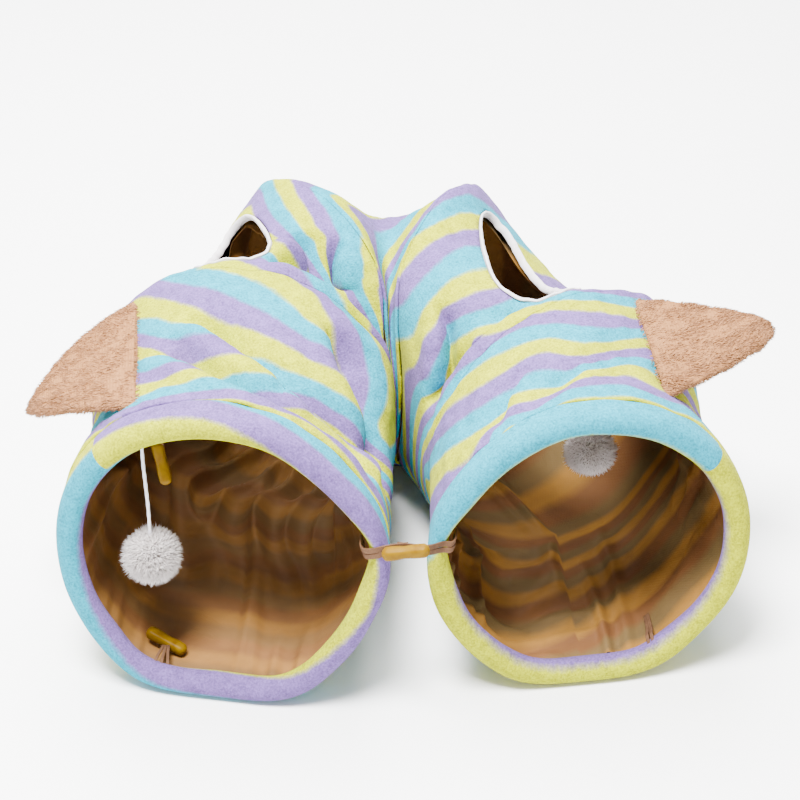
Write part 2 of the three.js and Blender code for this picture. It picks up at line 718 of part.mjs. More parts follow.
function lockMesh(middle, way, reach, spin) {
  const side = unit(cross(way, Math.abs(way[2]) > 0.8 ? [1, 0, 0] : [0, 0, 1]));
  const up = cross(side, way);
  const loop = (far, round) => [0, 1, 2].map((k) => {
    const phase = spin + (2 * Math.PI * k) / 3;
    const spoke = add(scale(side, round * Math.cos(phase)), scale(up, round * Math.sin(phase)));
    return add(middle, add(scale(way, far), spoke));
  });
  const points = [...loop(POMPOM_CORE * 0.6, 3.2), ...loop(reach, 2.3)];
  return faceOut({ points, faces: LOCK_FACES });
}

function pompomMesh(middle, size) {
  let solid = toSolid(fromGeometry(new THREE.IcosahedronGeometry(POMPOM_CORE * size, 1), middle));
  for (let k = 0; k < POMPOM_LOCKS; k += 1) {
    const z = 1 - (2 * (k + 0.5)) / POMPOM_LOCKS;
    if (z < BARE_SPOT) {
      const flat = Math.sqrt(1 - z * z);
      const way = [flat * Math.cos(k * GOLDEN), flat * Math.sin(k * GOLDEN), z];
      const reach = POMPOM_REACH * size * (0.94 + 0.06 * Math.sin(k * 2.3));
      solid = solid.add(toSolid(lockMesh(middle, way, reach, k * 0.9)));
    }
  }
  return fromSolid(solid);
}

// A hanging cord of round section, straight down between two heights.
const CORD_SIDES = 8;
const CORD_STEPS = 12;

function hangCord(name, top, low) {
  const section = new THREE.Shape();
  for (let k = 0; k < CORD_SIDES; k += 1) {
    const phase = (2 * Math.PI * k) / CORD_SIDES;
    const spot = [(CORD / 2) * Math.cos(phase), (CORD / 2) * Math.sin(phase)];
    section[k === 0 ? 'moveTo' : 'lineTo'](spot[0], spot[1]);
  }
  section.closePath();
  const path = new THREE.LineCurve3(new THREE.Vector3(...low), new THREE.Vector3(...top));
  const tube = new THREE.ExtrudeGeometry(section, { steps: CORD_STEPS, extrudePath: path });
  place(name, fromGeometry(tube), 0xd9d2e6, 0.8);
}

// The pompoms hang on their cords, the left one from the lip and the right one from the lining.
const LEFT_POMPOM = { angle: 124, back: 15, height: 98, size: 0.96 };
const RIGHT_POMPOM = { w: 4.2, angle: 101, height: 107, size: 0.9 };
const CORD_SEAT = 1.5;

function hangPompom(name, top, height, size) {
  const middle = [top[0], top[1], height];
  const low = [top[0], top[1], height + POMPOM_CORE * size + GAP];
  hangCord(`cord_${name}`, top, low);
  place(`pompom_${name}`, pompomMesh(middle, size), 0xe6e1df, 0.95);
}

const leftTop = rimPoint(false, LEFT_POMPOM.angle, LEFT_POMPOM.back, -BAND_ROLL - CORD_SEAT);
hangPompom('left', leftTop, LEFT_POMPOM.height, LEFT_POMPOM.size);

const rightOut = normal(RIGHT_POMPOM.w, RIGHT_POMPOM.angle);
const rightTop = sub(
  surface(RIGHT_POMPOM.w, RIGHT_POMPOM.angle), scale(rightOut, LINING_TOP + CORD_SEAT));
hangPompom('right', rightTop, RIGHT_POMPOM.height, RIGHT_POMPOM.size);

export default tunnel;
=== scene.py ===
"""Looks of a plush cat tunnel, bent into a U: covers, lining, bands, ears, trim and pompoms."""

import logging
import math
from dataclasses import dataclass
from enum import Enum

import bmesh
import bpy
import numpy as np
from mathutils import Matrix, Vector
from mathutils.bvhtree import BVHTree


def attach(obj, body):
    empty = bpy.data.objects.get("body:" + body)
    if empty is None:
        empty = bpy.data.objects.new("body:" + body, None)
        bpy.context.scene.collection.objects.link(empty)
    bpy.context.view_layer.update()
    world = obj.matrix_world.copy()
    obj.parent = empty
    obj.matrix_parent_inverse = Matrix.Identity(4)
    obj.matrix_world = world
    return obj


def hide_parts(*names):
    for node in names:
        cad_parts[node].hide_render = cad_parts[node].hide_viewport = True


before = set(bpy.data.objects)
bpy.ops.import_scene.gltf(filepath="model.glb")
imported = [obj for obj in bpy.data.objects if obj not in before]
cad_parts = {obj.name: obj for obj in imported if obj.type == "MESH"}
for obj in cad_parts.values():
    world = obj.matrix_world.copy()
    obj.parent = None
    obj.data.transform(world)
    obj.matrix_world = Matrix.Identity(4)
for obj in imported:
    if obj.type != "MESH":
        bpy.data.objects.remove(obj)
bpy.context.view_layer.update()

log = logging.getLogger("cat_tunnel")
Array = np.ndarray
Colour = tuple[float, ...]
Nodes = bpy.types.NodeTree
Socket = bpy.types.NodeSocket
Material = bpy.types.Material
Mesh = bmesh.types.BMesh
Piece = bpy.types.Object

MM = 0.001
BODY = "root"

# The cloth's form is worked out in millimetres on a plan frame, whose middle is here.
PLAN_MIDDLE = np.array([2.3, 200.0, 0.0])
# The hoops press down by this much, and the cloth bends softly where it meets the floor.
FLOOR_PRESS = 5.0
FLOOR_EASE = 10.0
FLOOR_FLAT = 2.0
# Folds fade out behind a mouth (mm) and beside a hoop (share of the panel).
MOUTH_PLAIN = 30.0
MOUTH_EASE = 24.0
AFTER_HOOP = 0.14
BEFORE_HOOP = 0.1
BAND_WIDTH = 28.0
RIGHT_BAND_WIDTH = 22.0
BAND_LIP = 21.0
COVER_THICK = 3.0
LINING_DEPTH = 4.3
PIECE_GAP = 0.35
HOOP_RADIUS = 123.0
MM_PER_DEGREE = math.radians(1.0) * HOOP_RADIUS
SEAM_ANGLE = 158.0
LAST_PANEL = 4
# The camera that matches the photo, which is this many pixels wide and high.
PHOTO_SIZE = 800
LENS = 88.4
SENSOR = 36.0
CAMERA_PLACE = (-0.0023, -1.274, 1.014)
CAMERA_TILT = math.radians(55.0)
# Small swellings of the cover: height, distance apart (mm) and pattern.
SWELLINGS = ((0.8, 46.0, 11), (0.35, 17.0, 12))
# Corners closer than this become one, in metres.
MERGE_COVER = 2e-5
MERGE_SEAM = 1e-6


@dataclass(frozen=True)
class Hoop:
    """A sprung hoop: place on the plan, heading, lean (degrees) and half sizes (mm)."""

    x: float
    y: float
    heading: float
    lean: float
    half_w: float
    half_h: float


@dataclass(frozen=True)
class Dent:
    """A place where a hoop is pressed out of round."""

    hoop: int
    angle: float
    spread: float
    out: float


@dataclass(frozen=True)
class Hollow:
    """A broad hollow in a panel, or a swelling where the depth is negative."""

    panel: int
    angle: float
    at: float
    wide: float
    long: float
    depth: float


@dataclass(frozen=True)
class Fold:
    """A crease along a path of (angle, at) places; the overhanging cloth is on its left."""

    panel: int
    path: tuple[tuple[float, float], ...]
    depth: float
    gentle: float
    steep: float
    over: float
    taper: float
    crest: float = 0.0


@dataclass(frozen=True)
class Peephole:
    """An oval hole in a panel: its middle and half sizes round and along the tunnel."""

    name: str
    panel: int
    angle: float
    at: float
    half_angle: float
    half_at: float
    lean: float

    def spot(self, t: Array, deg: Array) -> tuple[Array, Array]:
        """Places beside the hole's middle, in half sizes; its edge is at distance one."""
        y = (t - self.at) / self.half_at
        return (wrap(deg - self.angle) - self.lean * y) / self.half_angle, y

    def place(self, x: Array, y: Array) -> tuple[Array, Array]:
        """The angle and the place along the panel of a spot."""
        return self.angle + x * self.half_angle + self.lean * y, self.at + y * self.half_at


@dataclass(frozen=True)
class Crop:
    """An enlarged crop of the photo: its corner in the photo's pixels, and its scale."""

    left: float
    top: float
    scale: float


@dataclass(frozen=True)
class StripeEdge:
    """An edge of a stripe: the cloth's length there (mm from the left mouth) and spots of a crop."""

    crop: Crop
    cloth: float
    spots: tuple[tuple[int, int], ...]

    def pixels(self) -> list[tuple[float, float]]:
        """The spots in the photo's own pixels."""
        crop = self.crop
        return [(crop.left + x / crop.scale, crop.top + y / crop.scale) for x, y in self.spots]


HOOPS = (
    Hoop(x=-125, y=0, heading=9, lean=7, half_w=124, half_h=122),
    Hoop(x=-120, y=214, heading=10, lean=0, half_w=125, half_h=120),
    Hoop(x=-64, y=315, heading=54, lean=0, half_w=125, half_h=124),
    Hoop(x=35, y=318, heading=118, lean=0, half_w=125, half_h=123),
    Hoop(x=127, y=173, heading=150, lean=0, half_w=124, half_h=120),
    Hoop(x=136, y=15, heading=172, lean=-6, half_w=120, half_h=118),
)
DENTS = (
    Dent(hoop=0, angle=95, spread=34, out=-5),
    Dent(hoop=0, angle=45, spread=28, out=-8),
    Dent(hoop=0, angle=238, spread=30, out=7),
    Dent(hoop=0, angle=333, spread=30, out=-11),
    Dent(hoop=2, angle=140, spread=30, out=4),
    Dent(hoop=3, angle=140, spread=34, out=-7),
    Dent(hoop=5, angle=45, spread=26, out=-6),
    Dent(hoop=5, angle=95, spread=34, out=-3),
    Dent(hoop=5, angle=325, spread=30, out=-3),
)
PANEL_RUN = (215.0, 150.0, 150.0, 160.0, 170.0)
HOLLOWS = (
    Hollow(panel=0, angle=100, at=0.55, wide=50, long=0.3, depth=5),
    Hollow(panel=0, angle=172, at=0.48, wide=26, long=0.3, depth=9),
    Hollow(panel=0, angle=42, at=0.86, wide=28, long=0.16, depth=-10),
    Hollow(panel=1, angle=130, at=0.48, wide=38, long=0.34, depth=20),
    Hollow(panel=1, angle=38, at=0.45, wide=30, long=0.3, depth=12),
    Hollow(panel=1, angle=60, at=0.6, wide=10, long=0.16, depth=9),
    Hollow(panel=2, angle=95, at=0.55, wide=58, long=0.28, depth=37),
    Hollow(panel=3, angle=124, at=0.52, wide=42, long=0.36, depth=38),
    Hollow(panel=3, angle=32, at=0.72, wide=18, long=0.16, depth=13),
    Hollow(panel=3, angle=55, at=0.85, wide=7, long=0.06, depth=-13),
    Hollow(panel=4, angle=152, at=0.5, wide=34, long=0.32, depth=13),
)
FOLDS = (
    Fold(panel=0, path=((122, 0.56), (108, 0.41), (94, 0.285), (80, 0.24), (66, 0.225),
                        (52, 0.23), (38, 0.24), (22, 0.24)),
         depth=20, gentle=22, steep=7, over=9, taper=34, crest=6),
    Fold(panel=0, path=((112, 0.73), (98, 0.59), (84, 0.45), (70, 0.355), (56, 0.335),
                        (42, 0.335), (28, 0.345), (16, 0.37)),
         depth=20, gentle=22, steep=7, over=9, taper=34, crest=6),
    Fold(panel=0, path=((56, 0.82), (53, 0.70), (48.5, 0.62), (40, 0.55), (30, 0.47),
                        (22, 0.37), (18, 0.27)),
         depth=32, gentle=26, steep=8, over=11, taper=28, crest=5),
    Fold(panel=1, path=((88, 0.24), (76, 0.22), (60, 0.21), (44, 0.21), (28, 0.22), (12, 0.24)),
         depth=44, gentle=32, steep=12, over=9, taper=30, crest=8),
    Fold(panel=1, path=((90, 0.56), (82, 0.48), (74, 0.41), (62, 0.28)),
         depth=20, gentle=24, steep=8, over=10, taper=16, crest=6),
    Fold(panel=1, path=((50, 0.56), (58, 0.60), (64, 0.70), (70, 0.80)),
         depth=16, gentle=18, steep=8, over=8, taper=20, crest=3),
    Fold(panel=3, path=((18, 0.76), (30, 0.80), (42, 0.86), (54, 0.885), (66, 0.88), (80, 0.86)),
         depth=15, gentle=26, steep=7, over=7, taper=34, crest=3),
    Fold(panel=3, path=((54, 0.42), (47, 0.50), (41, 0.57), (34, 0.62), (26, 0.65), (16, 0.66)),
         depth=17, gentle=22, steep=8, over=8, taper=28, crest=3),
    Fold(panel=4, path=((49, 0.86), (55.6, 0.70), (61, 0.56), (66, 0.45), (71, 0.34)),
         depth=8, gentle=24, steep=9, over=7, taper=36),
    Fold(panel=4, path=((68, 0.86), (74, 0.78), (80, 0.68), (85, 0.61), (89, 0.49)),
         depth=7, gentle=22, steep=14, over=4, taper=34),
    Fold(panel=4, path=((96, 0.80), (104, 0.55), (112, 0.28)),
         depth=4, gentle=24, steep=20, over=0, taper=40),
)
PEEPHOLES = (
    Peephole(name="left", panel=1, angle=117, at=0.44, half_angle=24, half_at=0.33, lean=15),
    Peephole(name="right", panel=3, angle=102, at=0.54, half_angle=24, half_at=0.41, lean=-13),
)
# How the cloth lies: its length at the hoops, and the edges of its stripes between them, which
# were read in three enlarged crops of the photo.
HOOP_CLOTH = (85.0, 420.0, 574.0, 686.0, 846.0, 1101.0)
LEFT_ARM = Crop(left=130.0, top=260.0, scale=5.407)
BACK = Crop(left=200.0, top=160.0, scale=3.92)
RIGHT_ARM = Crop(left=420.0, top=280.0, scale=5.6)
STRIPE_EDGES = (
    StripeEdge(LEFT_ARM, 132, ((250, 805), (400, 800), (550, 810), (700, 825), (850, 870), (950, 925),
        (1050, 1000), (1150, 1110), (1220, 1220), (1290, 1360))),
    StripeEdge(LEFT_ARM, 154, ((20, 815), (150, 795), (250, 785), (400, 760), (560, 745), (1100, 1000),
        (1200, 1090), (1370, 1350))),
    StripeEdge(LEFT_ARM, 176, ((20, 790), (220, 730), (330, 710), (480, 690))),
    StripeEdge(LEFT_ARM, 198, ((20, 755), (100, 720), (200, 680), (300, 650), (400, 645))),
    StripeEdge(LEFT_ARM, 220, ((10, 680), (150, 630), (250, 605), (998, 835))),
    StripeEdge(LEFT_ARM, 242, ((10, 605), (100, 600), (200, 580), (850, 735))),
    StripeEdge(LEFT_ARM, 264, ((10, 530), (100, 530), (520, 640), (640, 625))),
    StripeEdge(LEFT_ARM, 286, ((10, 460), (280, 530), (400, 530), (500, 515))),
    StripeEdge(LEFT_ARM, 308, ((10, 400), (80, 410), (200, 430), (300, 420), (400, 405), (1050, 800),
        (1220, 880))),
    StripeEdge(LEFT_ARM, 330, ((30, 325), (150, 310), (700, 520), (800, 580), (900, 620), (1000, 650),
        (1100, 690))),
    StripeEdge(LEFT_ARM, 352, ((30, 207), (200, 210), (300, 240), (400, 280), (500, 320), (650, 380),
        (750, 425), (850, 470), (950, 510))),
    StripeEdge(LEFT_ARM, 374, ((280, 125), (400, 150), (560, 205), (700, 270), (800, 320), (900, 380),
        (1000, 440))),
    StripeEdge(LEFT_ARM, 396, ((580, 75), (700, 130), (800, 200), (900, 265), (1040, 400))),
    StripeEdge(LEFT_ARM, 418, ((960, 150), (1090, 330), (1150, 500), (1170, 640))),
    StripeEdge(LEFT_ARM, 440, ((1000, 150), (1100, 230), (1180, 320), (1240, 430), (1280, 540),
        (1265, 830))),
    StripeEdge(LEFT_ARM, 462, ((1100, 190), (1200, 270), (1290, 400), (1360, 530), (1390, 790),
        (1330, 960))),
    StripeEdge(BACK, 484, ((205, 170), (215, 230), (240, 262))),
    StripeEdge(BACK, 506, ((265, 170), (300, 230), (360, 290), (430, 370), (470, 440))),
    StripeEdge(BACK, 528, ((290, 120), (330, 190), (400, 280), (470, 350))),
    StripeEdge(BACK, 550, ((365, 90), (410, 170), (460, 260), (475, 370))),
    StripeEdge(BACK, 572, ((458, 102), (500, 200), (540, 330), (590, 430))),
    StripeEdge(BACK, 594, ((590, 220), (630, 340), (615, 460))),
    StripeEdge(BACK, 616, ((580, 190), (640, 260), (690, 380), (700, 480))),
    StripeEdge(BACK, 638, ((732, 608),)),
    StripeEdge(BACK, 704, ((930, 190), (1000, 150), (1060, 140))),
    StripeEdge(BACK, 726, ((870, 280), (930, 240), (1000, 205), (1060, 200))),
    StripeEdge(BACK, 748, ((790, 450), (830, 390), (880, 340), (950, 300), (1020, 280), (1070, 280))),
    StripeEdge(BACK, 770, ((745, 640), (780, 580), (830, 510), (890, 450), (940, 400), (1010, 350),
        (1080, 330))),
    StripeEdge(BACK, 792, ((850, 660), (905, 590), (930, 520), (980, 470), (1050, 440), (1110, 425))),
    StripeEdge(BACK, 814, ((800, 860), (900, 720), (915, 620), (950, 590), (1030, 550), (1090, 510))),
    StripeEdge(BACK, 836, ((880, 860), (930, 780), (940, 680), (980, 640), (1060, 600), (1130, 580))),
    StripeEdge(BACK, 858, ((940, 900), (960, 820), (1000, 730), (1040, 690), (1080, 650), (1180, 632))),
    StripeEdge(BACK, 880, ((962, 872), (1000, 800), (1060, 745), (1120, 720), (1180, 680), (1260, 620))),
    StripeEdge(RIGHT_ARM, 836, ((900, 80), (1000, 78), (1100, 92), (1200, 105))),
    StripeEdge(RIGHT_ARM, 858, ((870, 105), (960, 105), (1050, 115), (1150, 140), (1240, 165))),
    StripeEdge(RIGHT_ARM, 880, ((640, 190), (740, 165), (850, 170), (950, 185), (1060, 195),
        (1160, 215), (1260, 235))),
    StripeEdge(RIGHT_ARM, 902, ((180, 560), (250, 470), (340, 395), (420, 340), (500, 300), (600, 270),
        (700, 250), (800, 245), (900, 255), (1000, 260), (1100, 265), (1200, 270), (1290, 285))),
    StripeEdge(RIGHT_ARM, 924, ((80, 790), (130, 680), (200, 590), (300, 510), (400, 440), (500, 390),
        (600, 345), (700, 330), (800, 330), (900, 345), (1000, 350), (1100, 345), (1200, 335),
        (1310, 345))),
    StripeEdge(RIGHT_ARM, 946, ((60, 890), (100, 810), (180, 720), (300, 620), (400, 560), (500, 500),
        (600, 430), (700, 405), (800, 425), (980, 430), (1080, 400), (1180, 375), (1260, 385),
        (1330, 420))),
    StripeEdge(RIGHT_ARM, 968, ((54, 1010), (80, 930), (170, 830), (270, 750), (380, 680), (480, 620),
        (570, 560), (680, 480), (840, 520), (980, 450), (1080, 430), (1200, 425), (1290, 440),
        (1350, 470))),
    StripeEdge(RIGHT_ARM, 990, ((54, 1088), (120, 990), (200, 930), (300, 860), (410, 805), (545, 650),
        (680, 590), (780, 600), (860, 560), (1020, 490), (1120, 475), (1220, 480), (1380, 590))),
    StripeEdge(RIGHT_ARM, 1012, ((56, 1232), (100, 1140), (170, 1060), (260, 1000), (365, 950),
        (520, 685), (640, 690), (770, 624), (850, 575), (950, 545), (1050, 535), (1150, 530),
        (1300, 600), (1400, 630))),
    StripeEdge(RIGHT_ARM, 1034, ((78, 1298), (130, 1240), (200, 1170), (280, 1090), (470, 785),
        (600, 750), (740, 660), (820, 610), (920, 595), (1020, 590), (1120, 580), (1280, 640),
        (1380, 680))),
    StripeEdge(RIGHT_ARM, 1056, ((440, 850), (580, 810), (660, 760), (830, 680), (940, 665),
        (1050, 650), (1150, 650), (1250, 665), (1350, 690))),
    StripeEdge(RIGHT_ARM, 1078, ((450, 905), (540, 850), (650, 800), (760, 750), (880, 725),
        (1000, 715), (1150, 710), (1300, 715))),
)
# Where the two arms touch: from a front place (y, x) to a back one, each kept apart from it.
TOUCH_FRONT = (150.0, 12.0)
TOUCH_BACK = (220.0, -7.0)
TOUCH_APART = 2.5
TOUCH_EASE = 6.0


def wrap(deg: Array) -> Array:
    """Angles brought between -180 and 180 degrees."""
    return (deg + 180.0) % 360.0 - 180.0


def unit(vectors: Array) -> Array:
    """Vectors of length one."""
    return vectors / np.maximum(np.linalg.norm(vectors, axis=-1, keepdims=True), 1e-9)


def smooth(low: float, high: float, value: Array) -> Array:
    """A soft step from 0 at low to 1 at high."""
    t = np.clip((value - low) / (high - low), 0.0, 1.0)
    return t * t * (3.0 - 2.0 * t)


def lumps(points: Array, wave: float, seed: int, count: int = 14) -> Array:
    """Soft uneven swellings.

    Args:
        points: Places in mm.
        wave: The usual distance from one swelling to the next, in mm.
        seed: Picks one of the possible patterns.
        count: How many plane waves are added up.

    Returns:
        One value for each place, mostly between -1 and 1.
    """
    draw = np.random.default_rng(seed)
    ways = unit(draw.normal(size=(count, 3))) * draw.uniform(0.7, 1.4, (count, 1))
    phases = draw.uniform(0.0, 2.0 * math.pi, count)
    return np.cos(points @ ways.T * (2.0 * math.pi / wave) + phases).sum(-1) / math.sqrt(count)


def floored(height: Array) -> Array:
    """Heights kept off the floor, with a soft bend where the cloth meets it.

    Args:
        height: Heights in mm, below zero where the round hoops would sink in.

    Returns:
        Heights of zero or more.
    """
    lift = 0.5 * (np.hypot(FLOOR_FLAT, FLOOR_EASE) - FLOOR_FLAT)
    bent = 0.5 * (height + np.hypot(height, FLOOR_EASE))
    return np.maximum(bent - lift * (1 - smooth(0.0, 4 * FLOOR_EASE, height)), 0.0)


class TunnelForm:
    """The draped form of the tunnel: six hoops and the cloth that sags and folds between."""

    step: float = 0.01
    turn: float = 0.8
    shared: float = 0.06
    rim_least: float = 2.0

    def middle(self, index: int) -> Array:
        """The middle of a hoop.

        Args:
            index: Hoop number from the left mouth.

        Returns:
            The place in mm.
        """
        hoop = HOOPS[index]
        height = hoop.half_h * math.cos(math.radians(hoop.lean)) - FLOOR_PRESS
        return np.array([hoop.x, hoop.y, height])

    def axis(self, panel: int, t: Array) -> Array:
        """Places on the straight line between the middles of a panel's hoops."""
        return self.middle(panel) + (self.middle(panel + 1) - self.middle(panel)) * t[..., None]

    def settle(self, points: Array, side: int) -> Array:
        """Keeps points of the left (-1) or right (+1) arm on their own side and off the floor.

        Args:
            points: Places in mm.
            side: The arm, or 0 for the bend behind both.

        Returns:
            The places after the push.
        """
        x, y, z = points[..., 0], points[..., 1], floored(points[..., 2])
        if side:
            t = np.clip((y - TOUCH_FRONT[0]) / (TOUCH_BACK[0] - TOUCH_FRONT[0]), 0.0, 1.0)
            limit = TOUCH_FRONT[1] + (TOUCH_BACK[1] - TOUCH_FRONT[1]) * t + side * TOUCH_APART
            clear = side * (x - limit)
            x = limit + side * 0.5 * (clear + np.hypot(clear, TOUCH_EASE))
        return np.stack([x, y, z], -1)

    def hoop_point(self, index: int, deg: Array) -> Array:
        """Places on a hoop.

        Args:
            index: Hoop number from the left mouth.
            deg: Places round it: 0 is the inner side of the U, 90 the top, 270 the floor.

        Returns:
            The places in mm.
        """
        hoop = HOOPS[index]
        out = np.zeros_like(deg)
        for dent in DENTS:
            if dent.hoop == index:
                out = out + dent.out * np.exp(-((wrap(deg - dent.angle) / dent.spread) ** 2))
        heading, lean = math.radians(hoop.heading), math.radians(hoop.lean)
        across = (hoop.half_w + out) * np.cos(np.radians(deg))
        up = (hoop.half_h + out) * np.sin(np.radians(deg))
        offset = np.stack([
            across * math.cos(heading) + up * math.sin(lean) * math.sin(heading),
            -across * math.sin(heading) + up * math.sin(lean) * math.cos(heading),
            up * math.cos(lean),
        ], -1)
        side = -1 if index <= 2 else 1
        return self.settle(self.middle(index) + offset, side)

    def run(self, panel: int, deg: Array) -> Array:
        """The distance between a panel's two hoops."""
        return np.linalg.norm(self.hoop_point(panel + 1, deg) - self.hoop_point(panel, deg), axis=-1)

    def fold_place(self, fold: Fold, t: Array, deg: Array) -> tuple[Array, Array, Array]:
        """Where places lie beside a fold.

        Args:
            fold: The fold.
            t: Places along the panel, 0 to 1.
            deg: Places round the tunnel.

        Returns:
            The distance off the fold (mm, positive on its left), the direction away from it
            to the left (round, along), and how far the fold has faded out at its ends.
        """
        run = PANEL_RUN[fold.panel]
        near = np.full(t.shape, np.inf)
        off, way, spot = np.zeros(t.shape), np.zeros(t.shape + (2,)), np.zeros(t.shape)
        walked = 0.0
        for (angle_a, at_a), (angle_b, at_b) in zip(fold.path, fold.path[1:]):
            px, py = wrap(deg - angle_a) * MM_PER_DEGREE, (t - at_a) * run
            dx, dy = (angle_b - angle_a) * MM_PER_DEGREE, (at_b - at_a) * run
            size = math.hypot(dx, dy)
            k = np.clip((px * dx + py * dy) / size**2, 0.0, 1.0)
            far = np.hypot(px - k * dx, py - k * dy)
            left = np.sign(dx * py - dy * px)
            closer = far < near
            near = np.where(closer, far, near)
            off = np.where(closer, far * left, off)
            spot = np.where(closer, walked + k * size, spot)
            way = np.where(closer[..., None], np.array([-dy, dx]) / size, way)
            walked += size
        fade = smooth(0.0, fold.taper, spot) * smooth(0.0, fold.taper, walked - spot)
        return off, way, fade

    def folds(self, panel: int, t: Array, deg: Array) -> tuple[Array, Array]:
        """How the folds draw the cloth in and push it sideways.

        Args:
            panel: Panel number from the left mouth.
            t: Places along the panel, 0 to 1.
            deg: Places round the tunnel.

        Returns:
            The depth inwards (mm) and the slide (round, along) in mm.
        """
        run = self.run(panel, deg)
        start, end = smooth(0, AFTER_HOOP, t), smooth(0, BEFORE_HOOP, 1 - t)
        if panel == 0:
            start = smooth(MOUTH_PLAIN, MOUTH_PLAIN + MOUTH_EASE, t * run)
        if panel == LAST_PANEL:
            end = smooth(MOUTH_PLAIN, MOUTH_PLAIN + MOUTH_EASE, (1 - t) * run)
        depth, slide = np.zeros(t.shape), np.zeros(t.shape + (2,))
        for row in HOLLOWS:
            if row.panel == panel:
                around = wrap(deg - row.angle) / row.wide
                depth += row.depth * np.exp(-(around**2) - ((t - row.at) / row.long) ** 2)
        deepest, highest = np.zeros(t.shape), np.zeros(t.shape)
        for fold in FOLDS:
            if fold.panel == panel:
                off, way, fade = self.fold_place(fold, t, deg)
                width = np.where(off > 0, fold.steep, fold.gentle)
                part = off / fold.steep
                # A sum of fourth powers lets the deeper of two folds hold where they meet.
                deepest += (fold.depth * fade * np.exp(-((off / width) ** 2))) ** 4
                highest += (fold.crest * fade * np.exp(-((part - 2) ** 2))) ** 4
                push = fold.over * fade * np.exp(-((part - 1) ** 2))
                slide -= push[..., None] * way
        depth += deepest**0.25 - highest**0.25
        ease = start * end
        return depth * ease, slide * ease[..., None]

    def face(self, panel: int, t: Array, deg: Array, plain: bool = False) -> Array:
        """Places on the cover's outer face.

        Args:
            panel: Panel number from the left mouth.
            t: Places along the panel, 0 to 1.
            deg: Places round the tunnel.
            plain: Leaves out the slide of the folds and the small swellings.

        Returns:
            The places in mm.
        """
        t, deg = np.broadcast_arrays(np.asarray(t, float), np.asarray(deg, float))
        first, last = self.hoop_point(panel, deg), self.hoop_point(panel + 1, deg)
        point = first + (last - first) * t[..., None]
        inward, along = unit(self.axis(panel, t) - point), unit(last - first)
        around = unit(np.cross(-inward, along))
        depth, slide = self.folds(panel, t, deg)
        if not plain:
            depth = depth + sum(high * lumps(point, wave, seed) for high, wave, seed in SWELLINGS)
            point = point + around * slide[..., :1] + along * slide[..., 1:]
        side = -1 if panel <= 1 else 1 if panel >= 3 else 0
        return self.settle(point + inward * depth[..., None], side)

    def out_of_one(self, panel: int, t: Array, deg: Array) -> Array:
        """The outward direction of the cover, from one panel alone.

        Args:
            panel: Panel number from the left mouth.
            t: Places along the panel, 0 to 1.
            deg: Places round the tunnel.

        Returns:
            Directions of length one.
        """
        low, high = np.clip(t - self.step, 0, 1), np.clip(t + self.step, 0, 1)
        along = self.face(panel, high, deg, True) - self.face(panel, low, deg, True)
        before, after = deg - self.turn, deg + self.turn
        around = self.face(panel, t, after, True) - self.face(panel, t, before, True)
        return unit(np.cross(along, around))

    def out(self, panel: int, t: Array, deg: Array) -> Array:
        """The outward direction of the cover; on a hoop, shared by the panels that meet there.

        Args:
            panel: Panel number from the left mouth.
            t: Places along the panel, 0 to 1.
            deg: Places round the tunnel.

        Returns:
            Directions of length one.
        """
        t, deg = np.broadcast_arrays(np.asarray(t, float), np.asarray(deg, float))
        here = self.out_of_one(panel, t, deg)
        for other, end, away in ((panel - 1, np.ones_like(t), t), (panel + 1, np.zeros_like(t), 1 - t)):
            if 0 <= other <= LAST_PANEL:
                share = 0.5 * (1 - smooth(0, self.shared, away))[..., None]
                here = unit(here * (1 - share) + self.out_of_one(other, end, deg) * share)
        return here

    def rim(self, right: bool, deg: Array, back: Array, out: Array) -> Array:
        """Places on a mouth's rim.

        Args:
            right: The right mouth and not the left.
            deg: Places round the mouth.
            back: Distance back from the rim's nose in mm.
            out: Height out of the cover's face in mm.

        Returns:
            The places in mm.
        """
        deg, back, out = np.broadcast_arrays(
            np.asarray(deg, float), np.asarray(back, float), np.asarray(out, float))
        panel = LAST_PANEL if right else 0
        nose = self.hoop_point(panel + 1 if right else 0, deg)
        way = unit(self.hoop_point(panel if right else 1, deg) - nose)
        part = np.maximum(back, self.rim_least) / self.run(panel, deg)
        up = self.out(panel, 1 - part if right else part, deg)
        point = nose + way * back[..., None] + up * out[..., None]
        point[..., 2] = floored(point[..., 2])
        return point


FORM = TunnelForm()


def to_frame(points: Array) -> Array:
    """Places of the plan in mm, turned to the part's frame in metres."""
    return (points - PLAN_MIDDLE) * MM


def linear(code: str) -> Colour:
    """An sRGB hex colour as linear red, green, blue and alpha.

    Args:
        code: Six hex digits.

    Returns:
        The linear colour.
    """
    parts = [int(code[k:k + 2], 16) / 255 for k in (0, 2, 4)]
    red, green, blue = (c / 12.92 if c <= 0.04045 else ((c + 0.055) / 1.055) ** 2.4 for c in parts)
    return red, green, blue, 1.0


def add_node(tree: Nodes, kind: str, values: dict | None = None, links: dict | None = None,
             **settings: object) -> bpy.types.Node:
    """Adds a node to a material.

    Args:
        tree: The material's nodes.
        kind: The node's type name.
        values: Input name or number to a fixed value.
        links: Input name or number to the socket that feeds it.
        **settings: The node's own settings.

    Returns:
        The new node.
    """
    node = tree.nodes.new(kind)
    for name, value in settings.items():
        setattr(node, name, value)
    for name, value in (values or {}).items():
        node.inputs[name].default_value = value
    for name, socket in (links or {}).items():
        tree.links.new(socket, node.inputs[name])
    return node


def measure(tree: Nodes, layer: str) -> Socket:
    """The piece's own measure in metres, kept in a UV map."""
    return add_node(tree, "ShaderNodeUVMap", uv_map=layer).outputs["UV"]


